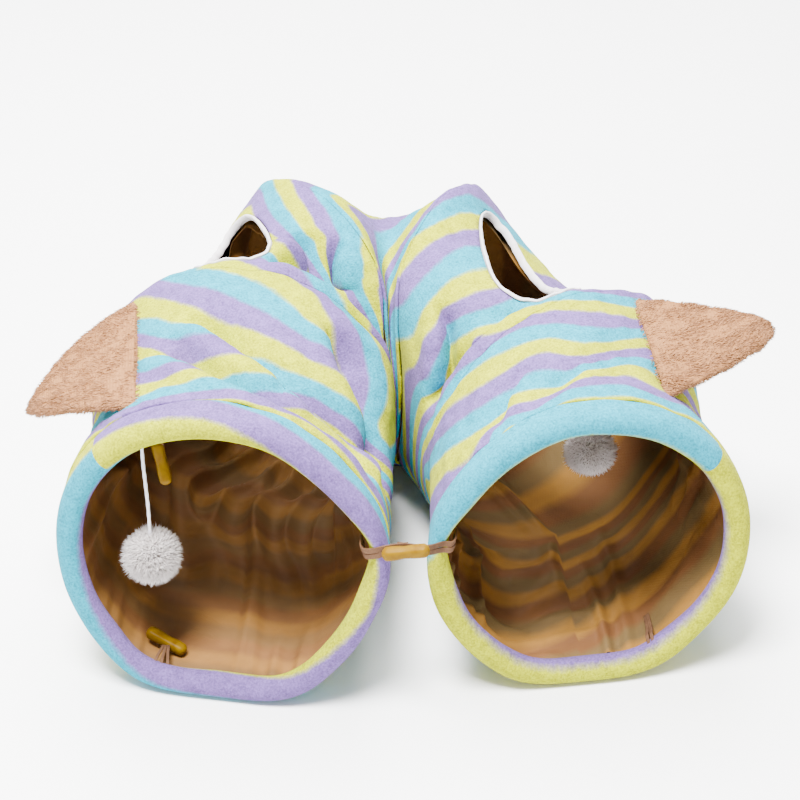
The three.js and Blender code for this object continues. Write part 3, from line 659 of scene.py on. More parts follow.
def split(tree: Nodes, place: Socket) -> tuple[Socket, Socket]:
    """The two numbers of a measure: across and along the cloth."""
    parts = add_node(tree, "ShaderNodeSeparateXYZ", links={0: place}).outputs
    return parts["X"], parts["Y"]


def maths(tree: Nodes, operation: str, *terms: Socket | float, clamp: bool = False) -> Socket:
    """Adds one sum.

    Args:
        tree: The material's nodes.
        operation: What is done with the terms.
        *terms: Numbers, or the sockets that feed them.
        clamp: Whether the result is kept between 0 and 1.

    Returns:
        The result's socket.
    """
    values = {k: term for k, term in enumerate(terms) if isinstance(term, float)}
    links = {k: term for k, term in enumerate(terms) if not isinstance(term, float)}
    return add_node(tree, "ShaderNodeMath", values, links, operation=operation, use_clamp=clamp).outputs[0]


def noise(tree: Nodes, place: Socket, size: float, detail: float = 2.0, roughness: float = 0.5,
          distortion: float = 0.0) -> Socket:
    """Adds an uneven pattern.

    Args:
        tree: The material's nodes.
        place: Where on the piece.
        size: The usual size of its spots, in metres.
        detail: How many finer layers it has.
        roughness: How strong the finer layers are.
        distortion: How far the spots are drawn out of shape.

    Returns:
        A value around 0.5.
    """
    values = {"Scale": 1 / size, "Detail": detail, "Roughness": roughness, "Distortion": distortion}
    return add_node(tree, "ShaderNodeTexNoise", values, {"Vector": place}).outputs["Fac"]


def ranged(tree: Nodes, value: Socket, low: float, high: float, start: float = 0.0,
           end: float = 1.0) -> Socket:
    """Adds a change of range.

    Args:
        tree: The material's nodes.
        value: The value.
        low: The result at the start of the old range.
        high: The result at its end.
        start: Where the old range starts.
        end: Where it ends.

    Returns:
        The result's socket.
    """
    values = {"From Min": start, "From Max": end, "To Min": low, "To Max": high}
    return add_node(tree, "ShaderNodeMapRange", values, {"Value": value}).outputs[0]


def ramped(tree: Nodes, value: Socket, stops: list[tuple[float, Colour]]) -> Socket:
    """Adds a run of colours.

    Args:
        tree: The material's nodes.
        value: Where on the run, 0 to 1.
        stops: Places on the run with their linear colours.

    Returns:
        The colour's socket.
    """
    node = add_node(tree, "ShaderNodeValToRGB", links={"Fac": value})
    ramp = node.color_ramp
    while len(ramp.elements) > 1:
        ramp.elements.remove(ramp.elements[0])
    ramp.elements[0].position, ramp.elements[0].color = stops[0]
    for place, colour in stops[1:]:
        ramp.elements.new(place).color = colour
    return node.outputs["Color"]


def toned(tree: Nodes, colour: Socket, tone: Socket) -> Socket:
    """Adds a darker or lighter tone to a colour."""
    return add_node(tree, "ShaderNodeMix", {0: 1.0}, {6: colour, 7: tone}, data_type="RGBA",
                    blend_type="MULTIPLY").outputs[2]


def bumped(tree: Nodes, height: Socket, strength: float, distance: float) -> Socket:
    """Adds a relief.

    Args:
        tree: The material's nodes.
        height: The relief's height, 0 to 1.
        strength: How strongly it turns the light.
        distance: How far 0 lies below 1, in metres.

    Returns:
        The socket of the face's direction.
    """
    values = {"Strength": strength, "Distance": distance}
    return add_node(tree, "ShaderNodeBump", values, {"Height": height}).outputs[0]


def new_material(name: str) -> tuple[Material, Nodes]:
    """An empty node material.

    Args:
        name: The material's name.

    Returns:
        The material and its nodes.
    """
    material = bpy.data.materials.new(name)
    material.use_nodes = True
    material.node_tree.nodes.clear()
    return material, material.node_tree


def finished(material: Material, values: dict, **links: Socket) -> Material:
    """Ends a material with its shader.

    Args:
        material: The material.
        values: The shader's fixed inputs.
        **links: Its inputs that are fed, with _ for a space.

    Returns:
        The same material.
    """
    tree = material.node_tree
    fed = {name.replace("_", " "): socket for name, socket in links.items()}
    shader = add_node(tree, "ShaderNodeBsdfPrincipled", values, fed)
    add_node(tree, "ShaderNodeOutputMaterial", links={"Surface": shader.outputs[0]})
    return material


STRIPE = 0.022


@dataclass(frozen=True)
class StripedCloth:
    """Colours of the three stripes in the order they repeat, each one STRIPE wide."""

    yellow: str
    purple: str
    blue: str
    stray: float = 0.008

    def stops(self, soft: float) -> list[tuple[float, Colour]]:
        """The colours of one repeat.

        Args:
            soft: How far a stripe's edge blends, as a share of the repeat.

        Returns:
            Places from 0 to 1 with their linear colours.
        """
        colours = [linear(code) for code in (self.yellow, self.purple, self.blue)]
        joint = tuple(a + (b - a) * 0.5 for a, b in zip(colours[2], colours[0]))
        stops = [(0.0, joint)]
        for k, colour in enumerate(colours):
            stops += [(k / 3 + soft, colour), ((k + 1) / 3 - soft, colour)]
        return stops + [(1.0, joint)]

    def colour(self, tree: Nodes, wander: float, soft: float) -> Socket:
        """Adds the nodes that colour the stripes along the cloth's own length.

        Args:
            tree: The material's nodes.
            wander: How far a stripe's edge strays, in metres.
            soft: How far an edge blends, as a share of the repeat.

        Returns:
            The colour's socket.
        """
        place = measure(tree, "cloth")
        stray = noise(tree, place, self.stray, 4.0, 0.85)
        shift = maths(tree, "MULTIPLY_ADD", stray, 2 * wander, -wander)
        length = maths(tree, "ADD", split(tree, place)[1], shift)
        turns = maths(tree, "MULTIPLY", length, 1 / (3 * STRIPE))
        return ramped(tree, maths(tree, "FRACT", turns), self.stops(soft))


@dataclass(frozen=True)
class PlushFinish:
    """Short polyester plush, knitted and brushed: matt, soft, pale where the pile lies over."""

    name: str = "brushed_polyester_plush"
    stripes: StripedCloth = StripedCloth(yellow="9CA000", purple="644F84", blue="0E869A")
    pile: float = 0.0016
    tuft: float = 0.009
    wander: float = 0.0022
    soft: float = 0.03
    relief: float = 0.0012

    def material(self) -> Material:
        """Makes the plush; the pile is drawn coarser than its 0.2 mm hairs so that it shows.

        Returns:
            The material.
        """
        material, tree = new_material(self.name)
        colour = self.stripes.colour(tree, self.wander, self.soft)
        place = add_node(tree, "ShaderNodeTexCoord").outputs["Object"]
        pile = noise(tree, place, self.pile, 3.0, 0.65)
        tuft = noise(tree, place, self.tuft, 2.0, 0.6)
        both = maths(tree, "MULTIPLY_ADD", tuft, 0.4, pile)
        tone = ranged(tree, both, 0.58, 1.22, 0.5, 0.9)
        return finished(
            material,
            {"Roughness": 0.95, "Specular IOR Level": 0.05, "Sheen Weight": 0.03,
             "Sheen Roughness": 0.5, "Sheen Tint": (1.0, 1.0, 1.0, 1.0)},
            Base_Color=toned(tree, colour, tone), Normal=bumped(tree, both, 0.6, self.relief))


@dataclass(frozen=True)
class LiningFinish:
    """Thin brown taffeta, tightly woven and faintly glossy, with painted light: the lit plush stripes
    shining through it.
    """

    name: str = "brown_taffeta"
    # Painted light: the plush stripes as they look when they shine through the taffeta.
    stripes: StripedCloth = StripedCloth(yellow="8A6224", purple="5A3820", blue="52482C")
    plain: str = "7C5733"
    thread: float = 0.0016
    patch: float = 0.07
    cloud: float = 0.05
    crinkle: float = 0.018
    wander: float = 0.002
    soft: float = 0.07
    relief: float = 0.002

    def material(self) -> Material:
        """Makes the taffeta; its threads are drawn coarser than their 0.15 mm so that they show.

        Returns:
            The material.
        """
        material, tree = new_material(self.name)
        cloth = measure(tree, "cloth")
        # Painted light: the lit stripes of the cover shine through, less in the left arm, where the lining
        # hangs free of it.
        lies = ranged(tree, split(tree, cloth)[1], 0.1, 0.45, 0.35, 0.8)
        shows = maths(tree, "MULTIPLY_ADD", noise(tree, cloth, self.patch), 0.5, lies, clamp=True)
        # Painted light: the striped colour of the cover shining through, mixed into the taffeta's own brown.
        shine_through = self.stripes.colour(tree, self.wander, self.soft)
        colour = add_node(tree, "ShaderNodeMix", {6: linear(self.plain)}, {0: shows, 7: shine_through},
                          data_type="RGBA").outputs[2]
        tone = ranged(tree, noise(tree, cloth, self.cloud, 3.0), 0.75, 1.15, 0.3, 0.7)
        crinkle = noise(tree, cloth, self.crinkle, 3.0, distortion=0.8)
        weave = add_node(tree, "ShaderNodeTexChecker", {"Scale": 1 / self.thread}, {"Vector": cloth})
        height = maths(tree, "MULTIPLY_ADD", weave.outputs["Fac"], 0.12, crinkle)
        return finished(material, {"Roughness": 0.6, "Specular IOR Level": 0.1},
                        Base_Color=toned(tree, colour, tone), Normal=bumped(tree, height, 0.5, self.relief))


@dataclass(frozen=True)
class YarnFinish:
    """Cut yarn or fur: each strand a little lighter or darker, with painted shade that darkens it towards
    its root.
    """

    name: str
    # The root colour is painted shade, where the strands shade each other.
    root: str
    tip: str
    spread: float
    sheen: float = 0.3

    def material(self) -> Material:
        """Makes the strands' finish from their own length and number.

        Returns:
            The material.
        """
        material, tree = new_material(self.name)
        number, along = split(tree, measure(tree, "strand"))
        root, tip = linear(self.root), linear(self.tip)
        # Painted shade: each strand runs from the dark root colour up to its tip colour.
        colour = ramped(tree, along, [(0.0, root), (0.75, tip), (1.0, tip)])
        tone = ranged(tree, number, 1 - self.spread, 1 + self.spread * 0.5)
        return finished(
            material,
            {"Roughness": 0.75, "Specular IOR Level": 0.25, "Sheen Weight": self.sheen,
             "Sheen Roughness": 0.4},
            Base_Color=toned(tree, colour, tone))


@dataclass(frozen=True)
class WovenFinish:
    """Woven tape, ribbon or cord: fine ribs across it and uneven colour along it."""

    name: str
    dark: str
    light: str
    rib: float
    blot: float = 0.006
    relief: float = 0.0005

    def ribs(self, tree: Nodes, cloth: Socket, way: str, **values: float) -> Socket:
        """Adds ribs; the wave's own length is 0.314 at a scale of one.

        Args:
            tree: The material's nodes.
            cloth: The piece's own measure.
            way: X or Y, the direction from rib to rib.
            **values: More of the wave's inputs.

        Returns:
            The ribs' height, 0 to 1.
        """
        values["Scale"] = 0.314 / self.rib
        wave = add_node(tree, "ShaderNodeTexWave", values, {"Vector": cloth}, bands_direction=way)
        return wave.outputs["Fac"]

    def material(self) -> Material:
        """Makes the weave from the piece's own length and width.

        Returns:
            The material.
        """
        material, tree = new_material(self.name)
        cloth = measure(tree, "cloth")
        wave = self.ribs(tree, cloth, "X", Distortion=1.5, Detail=1.0)
        weave = maths(tree, "MULTIPLY_ADD", wave, self.ribs(tree, cloth, "Y", Distortion=1.0), 0.0)
        tone = maths(tree, "MULTIPLY_ADD", weave, 0.5, noise(tree, cloth, self.blot, 3.0))
        return finished(
            material, {"Roughness": 0.8, "Specular IOR Level": 0.15},
            Base_Color=ramped(tree, tone, [(0.3, linear(self.dark)), (0.8, linear(self.light))]),
            Normal=bumped(tree, weave, 0.5, self.relief))


@dataclass(frozen=True)
class TogglePlastic:
    """Injection-moulded acetal, ochre yellow: smooth, a soft gloss and faint flow marks."""

    name: str = "ochre_acetal"
    dark: str = "5A3E00"
    light: str = "6E5200"
    flow: float = 0.009
    grain: float = 0.0016
    relief: float = 0.0003

    def material(self) -> Material:
        """Makes the moulded plastic.

        Returns:
            The material.
        """
        material, tree = new_material(self.name)
        place = add_node(tree, "ShaderNodeTexCoord").outputs["Object"]
        flow = noise(tree, place, self.flow, distortion=0.6)
        fine = noise(tree, place, self.grain)
        return finished(
            material, {"IOR": 1.48, "Specular IOR Level": 0.06},
            Base_Color=ramped(tree, flow, [(0.3, linear(self.dark)), (0.65, linear(self.light))]),
            Roughness=ranged(tree, fine, 0.3, 0.45), Normal=bumped(tree, fine, 0.12, self.relief))


class Slot(Enum):
    """The record's material slots."""

    PLUSH = "striped_plush"
    BAND = "band_plush"
    LINING = "lining_cloth"
    BINDING = "binding_tape"
    EAR = "ear_fur"
    TOGGLE = "toggle_bar"
    RIBBON = "ribbon"
    CORD = "cord"
    POMPOM = "pompom_yarn"


def flat_grid(across: int, along: int) -> tuple[Mesh, Array]:
    """A flat grid to be laid on a form.

    Args:
        across: Facets in the first direction.
        along: Facets in the second direction.

    Returns:
        The grid and the places of its corners, from 0 to 1 both ways.
    """
    grid = bmesh.new()
    bmesh.ops.create_grid(grid, x_segments=across, y_segments=along, size=0.5)
    return grid, np.array([corner.co[:2] for corner in grid.verts]) + 0.5


def lay_out(grid: Mesh, places: Array, uv: Array) -> None:
    """Moves a grid's corners to their places and keeps the cloth's own measure in a UV map.

    Args:
        grid: The grid.
        places: A place in mm for each corner.
        uv: The cloth's width and length at each corner, in metres.
    """
    for corner, place in zip(grid.verts, to_frame(places)):
        corner.co = place
    grid.verts.index_update()
    cloth = grid.loops.layers.uv.new("cloth")
    for face in grid.faces:
        for loop in face.loops:
            loop[cloth].uv = uv[loop.vert.index]


def place_piece(name: str, data: bpy.types.Mesh, material: Material,
                stands_for: bool = True) -> Piece:
    """Puts a finished mesh into the scene as a piece of the tunnel.

    Args:
        name: The piece's name.
        data: Its mesh.
        material: Its finish.
        stands_for: Whether it stands for the solid of the same name.

    Returns:
        The piece.
    """
    data.polygons.foreach_set("use_smooth", np.ones(len(data.polygons), bool))
    data.materials.append(material)
    piece = bpy.data.objects.new(name, data)
    bpy.context.scene.collection.objects.link(piece)
    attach(piece, BODY)
    if stands_for:
        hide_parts(name)
    log.info("piece %s: %d faces", name, len(data.polygons))
    return piece


def make_piece(name: str, mesh: Mesh, material: Material, outward: bool = True) -> Piece:
    """Turns a mesh into the piece that stands for the solid of its name.

    Args:
        name: The piece's name.
        mesh: Its mesh, which is used up.
        material: Its finish.
        outward: Whether the faces are turned to point outwards first.

    Returns:
        The piece.
    """
    if outward:
        bmesh.ops.recalc_face_normals(mesh, faces=mesh.faces)
    data = bpy.data.meshes.new(name)
    mesh.to_mesh(data)
    mesh.free()
    return place_piece(name, data, material)


class Sight:
    """The covers as the camera sees them, to find the cloth under a pixel of the photo."""

    along: int = 160
    across: int = 520
    first_angle: float = -40.0
    turn: float = 260.0

    def __init__(self) -> None:
        """Spreads a fine net over the upper side of the five panels."""
        t = np.linspace(0.0, 1.0, self.along + 1)[:, None]
        deg = self.first_angle + self.turn * np.linspace(0.0, 1.0, self.across + 1)
        panels = range(LAST_PANEL + 1)
        corners = np.concatenate([FORM.face(panel, t, deg).reshape(-1, 3) for panel in panels])
        shape = (LAST_PANEL + 1, self.along + 1, self.across + 1)
        numbers = np.arange(len(corners)).reshape(shape)
        ring = (numbers[:, :-1, :-1], numbers[:, 1:, :-1], numbers[:, 1:, 1:], numbers[:, :-1, 1:])
        self.corners = corners.reshape(*shape, 3)
        self.net = BVHTree.FromPolygons(corners.tolist(), np.stack(ring, -1).reshape(-1, 4).tolist())

    def cloth(self, x: float, y: float) -> tuple[int, float, float]:
        """The cloth under a pixel.

        Args:
            x: Pixels from the photo's left edge.
            y: Pixels from its upper edge.

        Returns:
            The panel's number, the place along it from 0 to 1, and the angle round the tunnel,
            no finer than such a spot can be read.
        """
        focal = LENS / SENSOR * PHOTO_SIZE
        right, up = (x - PHOTO_SIZE / 2) / focal, (PHOTO_SIZE / 2 - y) / focal
        sine, cosine = math.sin(CAMERA_TILT), math.cos(CAMERA_TILT)
        way = Vector((right, sine + up * cosine, up * sine - cosine))
        eye = Vector(np.array(CAMERA_PLACE) / MM + PLAN_MIDDLE)
        spot, _, facet, _ = self.net.ray_cast(eye, way.normalized())
        row, column = divmod(facet, self.across)
        panel, row = divmod(row, self.along)
        start, next_row, next_column = self.corners[panel, [row, row + 1, row], [column, column, column + 1]]
        sides = np.stack([next_row - start, next_column - start], -1)
        down, over = np.linalg.lstsq(sides, np.array(spot) - start, rcond=None)[0]
        deg = self.first_angle + self.turn * (column + over) / self.across
        return panel, round((row + down) / self.along, 2), round(deg)


class ClothLay:
    """How the cloth lies on the form: its length from the left mouth at any place."""

    reach: float = 45.0
    ease: float = 0.02
    tuck: float = 3.0
    tuck_reach: float = 50.0

    def __init__(self) -> None:
        """Fits the lay to the edges of the stripes."""
        self.starts = np.concatenate([[0.0], np.cumsum(PANEL_RUN)])
        sight = Sight()
        rows = [(*sight.cloth(x, y), edge.cloth) for edge in STRIPE_EDGES for x, y in edge.pixels()]
        panel, at, angle, cloth = np.array(rows, float).T
        self.knots = self.spot(panel, at, angle)
        self.knot_tucks = self.tucks(panel, at, angle)
        kernel = self.kernel(self.knots, self.knot_tucks) + self.ease * np.eye(len(rows))
        self.weights = np.linalg.solve(kernel, cloth - self.plain(panel, at))

    def plain(self, panel: Array, t: Array) -> Array:
        """The length with the cloth spread evenly between the hoops."""
        return np.interp(panel + t, np.arange(len(HOOP_CLOTH)), HOOP_CLOTH)

    def spot(self, panel: Array, t: Array, deg: Array) -> Array:
        """A place on the cloth laid flat, in mm round and along."""
        along = np.interp(panel + t, np.arange(len(self.starts)), self.starts)
        return np.stack([wrap(deg - 90.0) * MM_PER_DEGREE, along], -1)

    def tucks(self, panel: Array, t: Array, deg: Array) -> Array:
        """On which side of each fold places lie, for the cloth that is tucked away inside it.

        Args:
            panel: Panel numbers from the left mouth.
            t: Places along the panel, 0 to 1.
            deg: Places round the tunnel.

        Returns:
            A row for each place, -0.5 to 0.5 for each fold and 0 far away from it.
        """
        rows = []
        for fold in FOLDS:
            off, _, fade = FORM.fold_place(fold, t, deg)
            side = smooth(-0.5 * fold.steep, 1.7 * fold.steep, off) - 0.5
            near = fade * np.exp(-((off / self.tuck_reach) ** 2))
            rows.append(np.where(panel == fold.panel, side * near, 0.0))
        return np.stack(rows, -1)

    def kernel(self, spots: Array, tucks: Array) -> Array:
        """How much each fitted place counts at each spot.

        Args:
            spots: Places on the cloth laid flat.
            tucks: On which side of each fold they lie.

        Returns:
            A row for each place.
        """
        far = np.linalg.norm(spots[:, None, :] - self.knots[None, :, :], axis=-1) / self.reach
        return (1 + far) * np.exp(-far) + self.tuck * tucks @ self.knot_tucks.T

    def length(self, panel: int, t: Array, deg: Array) -> Array:
        """How much cloth lies between the left mouth and a place.

        Args:
            panel: Panel number from the left mouth.
            t: Places along the panel, 0 to 1.
            deg: Places round the tunnel.

        Returns:
            Lengths in mm.
        """
        near = self.kernel(self.spot(panel, t, deg), self.tucks(np.full(t.shape, panel), t, deg))
        return self.plain(panel, t) + near @ self.weights


LAY = ClothLay()


def hole_faces(grid: Mesh, hole: Peephole, t: Array, deg: Array,
               grow: float = 1.0) -> tuple[list[bmesh.types.BMFace], Array, Array]:
    """Finds the facets inside a peephole and moves the corners round them onto its edge.

    Args:
        grid: The grid.
        hole: The peephole.
        t: The corners' places along the panel.
        deg: The corners' places round the tunnel.
        grow: How much larger the cut is than the peephole.

    Returns:
        The facets to cut away, and the places of all corners.
    """
    grid.verts.index_update()
    x, y = (value / grow for value in hole.spot(t, deg))
    inside = []
    for face in grid.faces:
        corners = [corner.index for corner in face.verts]
        if np.abs(x[corners]).max() < 2 and math.hypot(x[corners].mean(), y[corners].mean()) < 1.0:
            inside.append(face)
    cut = set(inside)
    edge = {corner.index for face in inside for corner in face.verts
            if any(other not in cut for other in corner.link_faces)}
    rows = np.array(sorted(edge))
    scale = grow / np.hypot(x[rows], y[rows])
    t, deg = t.copy(), deg.copy()
    edge_deg, edge_t = hole.place(x[rows] * scale, y[rows] * scale)
    deg[rows] += wrap(edge_deg - deg[rows])
    t[rows] = edge_t
    return inside, t, deg


@dataclass
class CoverPanel:
    """One plush panel from hoop to hoop, with its peephole if it has one."""

    node: str
    panel: int
    across: int = 240
    pitch: float = 3.0
    thick: float = 2.6
    hoop_gap: float = 0.2

    def ends(self, deg: Array) -> tuple[Array, Array]:
        """Where the panel starts and ends between its hoops.

        Args:
            deg: Places round the tunnel.

        Returns:
            The start and the end, 0 to 1.
        """
        run = FORM.run(self.panel, deg)
        first = BAND_WIDTH + PIECE_GAP if self.panel == 0 else self.hoop_gap
        last = RIGHT_BAND_WIDTH + PIECE_GAP if self.panel == LAST_PANEL else self.hoop_gap
        return np.minimum(first / run, 0.45), np.maximum(1 - last / run, 0.55)

    def build(self, material: Material) -> Piece:
        """Makes the panel.

        Args:
            material: The plush.

        Returns:
            The piece.
        """
        longest = float(FORM.run(self.panel, np.arange(0.0, 360.0, 5.0)).max())
        grid, flat = flat_grid(self.across, int(longest / self.pitch))
        deg = SEAM_ANGLE + 360.0 * flat[:, 0]
        first, last = self.ends(deg)
        t = first + (last - first) * flat[:, 1]
        inside: list[bmesh.types.BMFace] = []
        for hole in PEEPHOLES:
            if hole.panel == self.panel:
                inside, t, deg = hole_faces(grid, hole, t, deg)
        uv = np.stack([deg * MM_PER_DEGREE, LAY.length(self.panel, t, deg)], -1) * MM
        lay_out(grid, FORM.face(self.panel, t, deg), uv)
        bmesh.ops.delete(grid, geom=inside, context="FACES")
        bmesh.ops.remove_doubles(grid, verts=grid.verts, dist=MERGE_COVER)
        bmesh.ops.reverse_faces(grid, faces=grid.faces)
        piece = make_piece(self.node, grid, material, outward=False)
        wall = piece.modifiers.new("cloth", "SOLIDIFY")
        wall.thickness, wall.offset = self.thick * MM, -1.0
        return piece


COVERS = (
    "cover_front_left", "cover_peephole_left", "cover_back", "cover_peephole_right", "cover_front_right",
)


def spline(points: Array, steps: int, closed: bool = False) -> Array:
    """A smooth curve through points.

    Args:
        points: Places or values, one row each.
        steps: Samples from each point to the next.
        closed: Whether the curve runs back to its first point.

    Returns:
        The curve's places, both ends included.
    """
    points = np.asarray(points, float)
    count = len(points)
    t = np.arange(steps)[:, None] / steps
    rows = []
    for k in range(count if closed else count - 1):
        near = [(k + j) % count if closed else min(max(k + j, 0), count - 1) for j in (-1, 0, 1, 2)]
        a, b, c, d = points[near]
        rows.append(b + 0.5 * t * (c - a + t * (2 * a - 5 * b + 4 * c - d + t * (3 * (b - c) + d - a))))
    rows.append(points[:1] if closed else points[-1:])
    return np.concatenate(rows)


def walked(path: Array) -> Array:
    """The distance walked along a path at each of its places."""
    return np.concatenate([[0.0], np.cumsum(np.linalg.norm(np.diff(path, axis=0), axis=1))])


def tube(rows: Array, width: Array, length: Array, caps: bool) -> Mesh:
    """A tube from rings of places.

    Args:
        rows: Places in mm, a row for each ring; a ring's last place is its first again.
        width: The cloth's own width at each place, in mm.
        length: The cloth's own length at each place, in mm.
        caps: Whether the two ends are closed; else the last ring meets the first.

    Returns:
        The tube, faces outwards.
    """
    rows = rows.copy()
    rows[:, -1] = rows[:, 0]
    uv = np.stack(np.broadcast_arrays(width, length), -1) * MM
    along, across = rows.shape[0] - 1, rows.shape[1] - 1
    grid, flat = flat_grid(across, along)
    i = np.rint(flat[:, 0] * across).astype(int)
    j = np.rint(flat[:, 1] * along).astype(int)
    lay_out(grid, rows[j, i], uv[j, i])
    bmesh.ops.remove_doubles(grid, verts=grid.verts, dist=MERGE_SEAM)
    if caps:
        bmesh.ops.holes_fill(grid, edges=[edge for edge in grid.edges if edge.is_boundary], sides=0)
    bmesh.ops.recalc_face_normals(grid, faces=grid.faces)
    return grid


@dataclass
class MouthBand:
    """A rolled plush band round a mouth; its stripes drift slowly inwards on their way round."""

    node: str
    right: bool
    seam: float
    sense: float
    drift: tuple[tuple[float, float], ...]
    tie: float
    width: float = BAND_WIDTH
    across: int = 288
    ease: int = 60
    seam_ease: float = 0.1
    plump: float = 1.6
    tie_press: float = 0.5
    tie_spread: float = 10.0
    roll_middle: tuple[float, float] = (10.0, -8.0)
    section: tuple[tuple[float, float], ...] = (
        (28.0, -1.1), (25.0, 0.2), (18.0, 0.9), (11.0, 0.6), (5.5, -1.2), (2.0, -4.4), (0.8, -8.4),
        (2.2, -12.4), (6.0, -15.2), (11.5, -16.2), (17.0, -15.0), (20.4, -11.6), (20.8, -7.0),
        (23.0, -4.2), (28.0, -3.2),
    )

    def outline(self) -> Array:
        """The band's section; a narrower band is shorter behind its lip alone.

        Returns:
            Distances back from the nose and heights out of the cover's face, in mm.
        """
        outline = spline(np.array(self.section), 4, closed=True)
        share = (self.width - BAND_LIP) / (BAND_WIDTH - BAND_LIP)
        outline[:, 0] -= np.maximum(outline[:, 0] - BAND_LIP, 0.0) * (1 - share)
        return outline

    def evened(self, rows: Array, back: Array) -> Array:
        """Lets the roll run round more evenly than the seam behind it, which follows the cover.

        Args:
            rows: The band's rings, in mm.
            back: Distances back from the nose.

        Returns:
            The evened rings.
        """
        free = smooth(0.0, 12.0, BAND_LIP + 1 - back)[:, :-1, None]
        free = self.seam_ease + (1 - self.seam_ease) * free
        ring = rows[:, :-1]
        for _ in range(self.ease):
            even = (np.roll(ring, 1, axis=1) + 2 * ring + np.roll(ring, -1, axis=1)) / 4
            ring = ring + (even - ring) * free
        return np.concatenate([ring, ring[:, :1]], axis=1)

    def build(self, material: Material) -> Piece:
        """Makes the band.

        Args:
            material: The plush.

        Returns:
            The piece.
        """
        outline = self.outline()
        length = walked(outline) + BAND_WIDTH - self.width
        deg = self.seam + np.linspace(0.0, 360.0, self.across + 1)
        deg, back = np.meshgrid(deg, outline[:, 0])
        # The tie presses the roll flat.
        press = self.tie_press * np.exp(-((wrap(deg - self.tie) / self.tie_spread) ** 2))
        out = outline[:, 1:] * (1 - press)
        rows = FORM.rim(self.right, deg, back, out)
        middle = FORM.rim(self.right, deg, *(np.full_like(deg, place) for place in self.roll_middle))
        swell = 0.7 * lumps(rows, 40.0, 21) + 0.3 * lumps(rows, 14.0, 22)
        swell = (swell + self.plump * smooth(0.0, 10.0, 18.0 - back)) * smooth(0.0, 6.0, rows[..., 2])
        rows = self.evened(rows + unit(rows - middle) * swell[..., None], back)
        cloth = np.interp(deg, *zip(*self.drift)) + self.sense * length[:, None]
        mesh = tube(rows, deg * MM_PER_DEGREE, cloth, caps=False)
        piece = make_piece(self.node, mesh, material)
        return piece


BANDS = (
    MouthBand(
        node="mouth_band_left", right=False, seam=139.0, sense=-1.0, tie=14.0,
        drift=((139, 84), (180, 83), (225, 79), (270, 73), (315, 60), (345, 52), (374, 56), (402, 62),
               (428, 57), (455, 45), (499, 37))),
    MouthBand(
        node="mouth_band_right", right=True, seam=142.0, sense=0.6, tie=12.0, width=RIGHT_BAND_WIDTH,
        drift=((142, -3), (350, -3), (374, -23), (502, -23))),
)


@dataclass(frozen=True)
class Pleat:
    """A lengthwise pleat of the lining: its place round the tunnel, width (degrees) and height."""

    angle: float
    width: float
    height: float
    sway: float
    phase: float


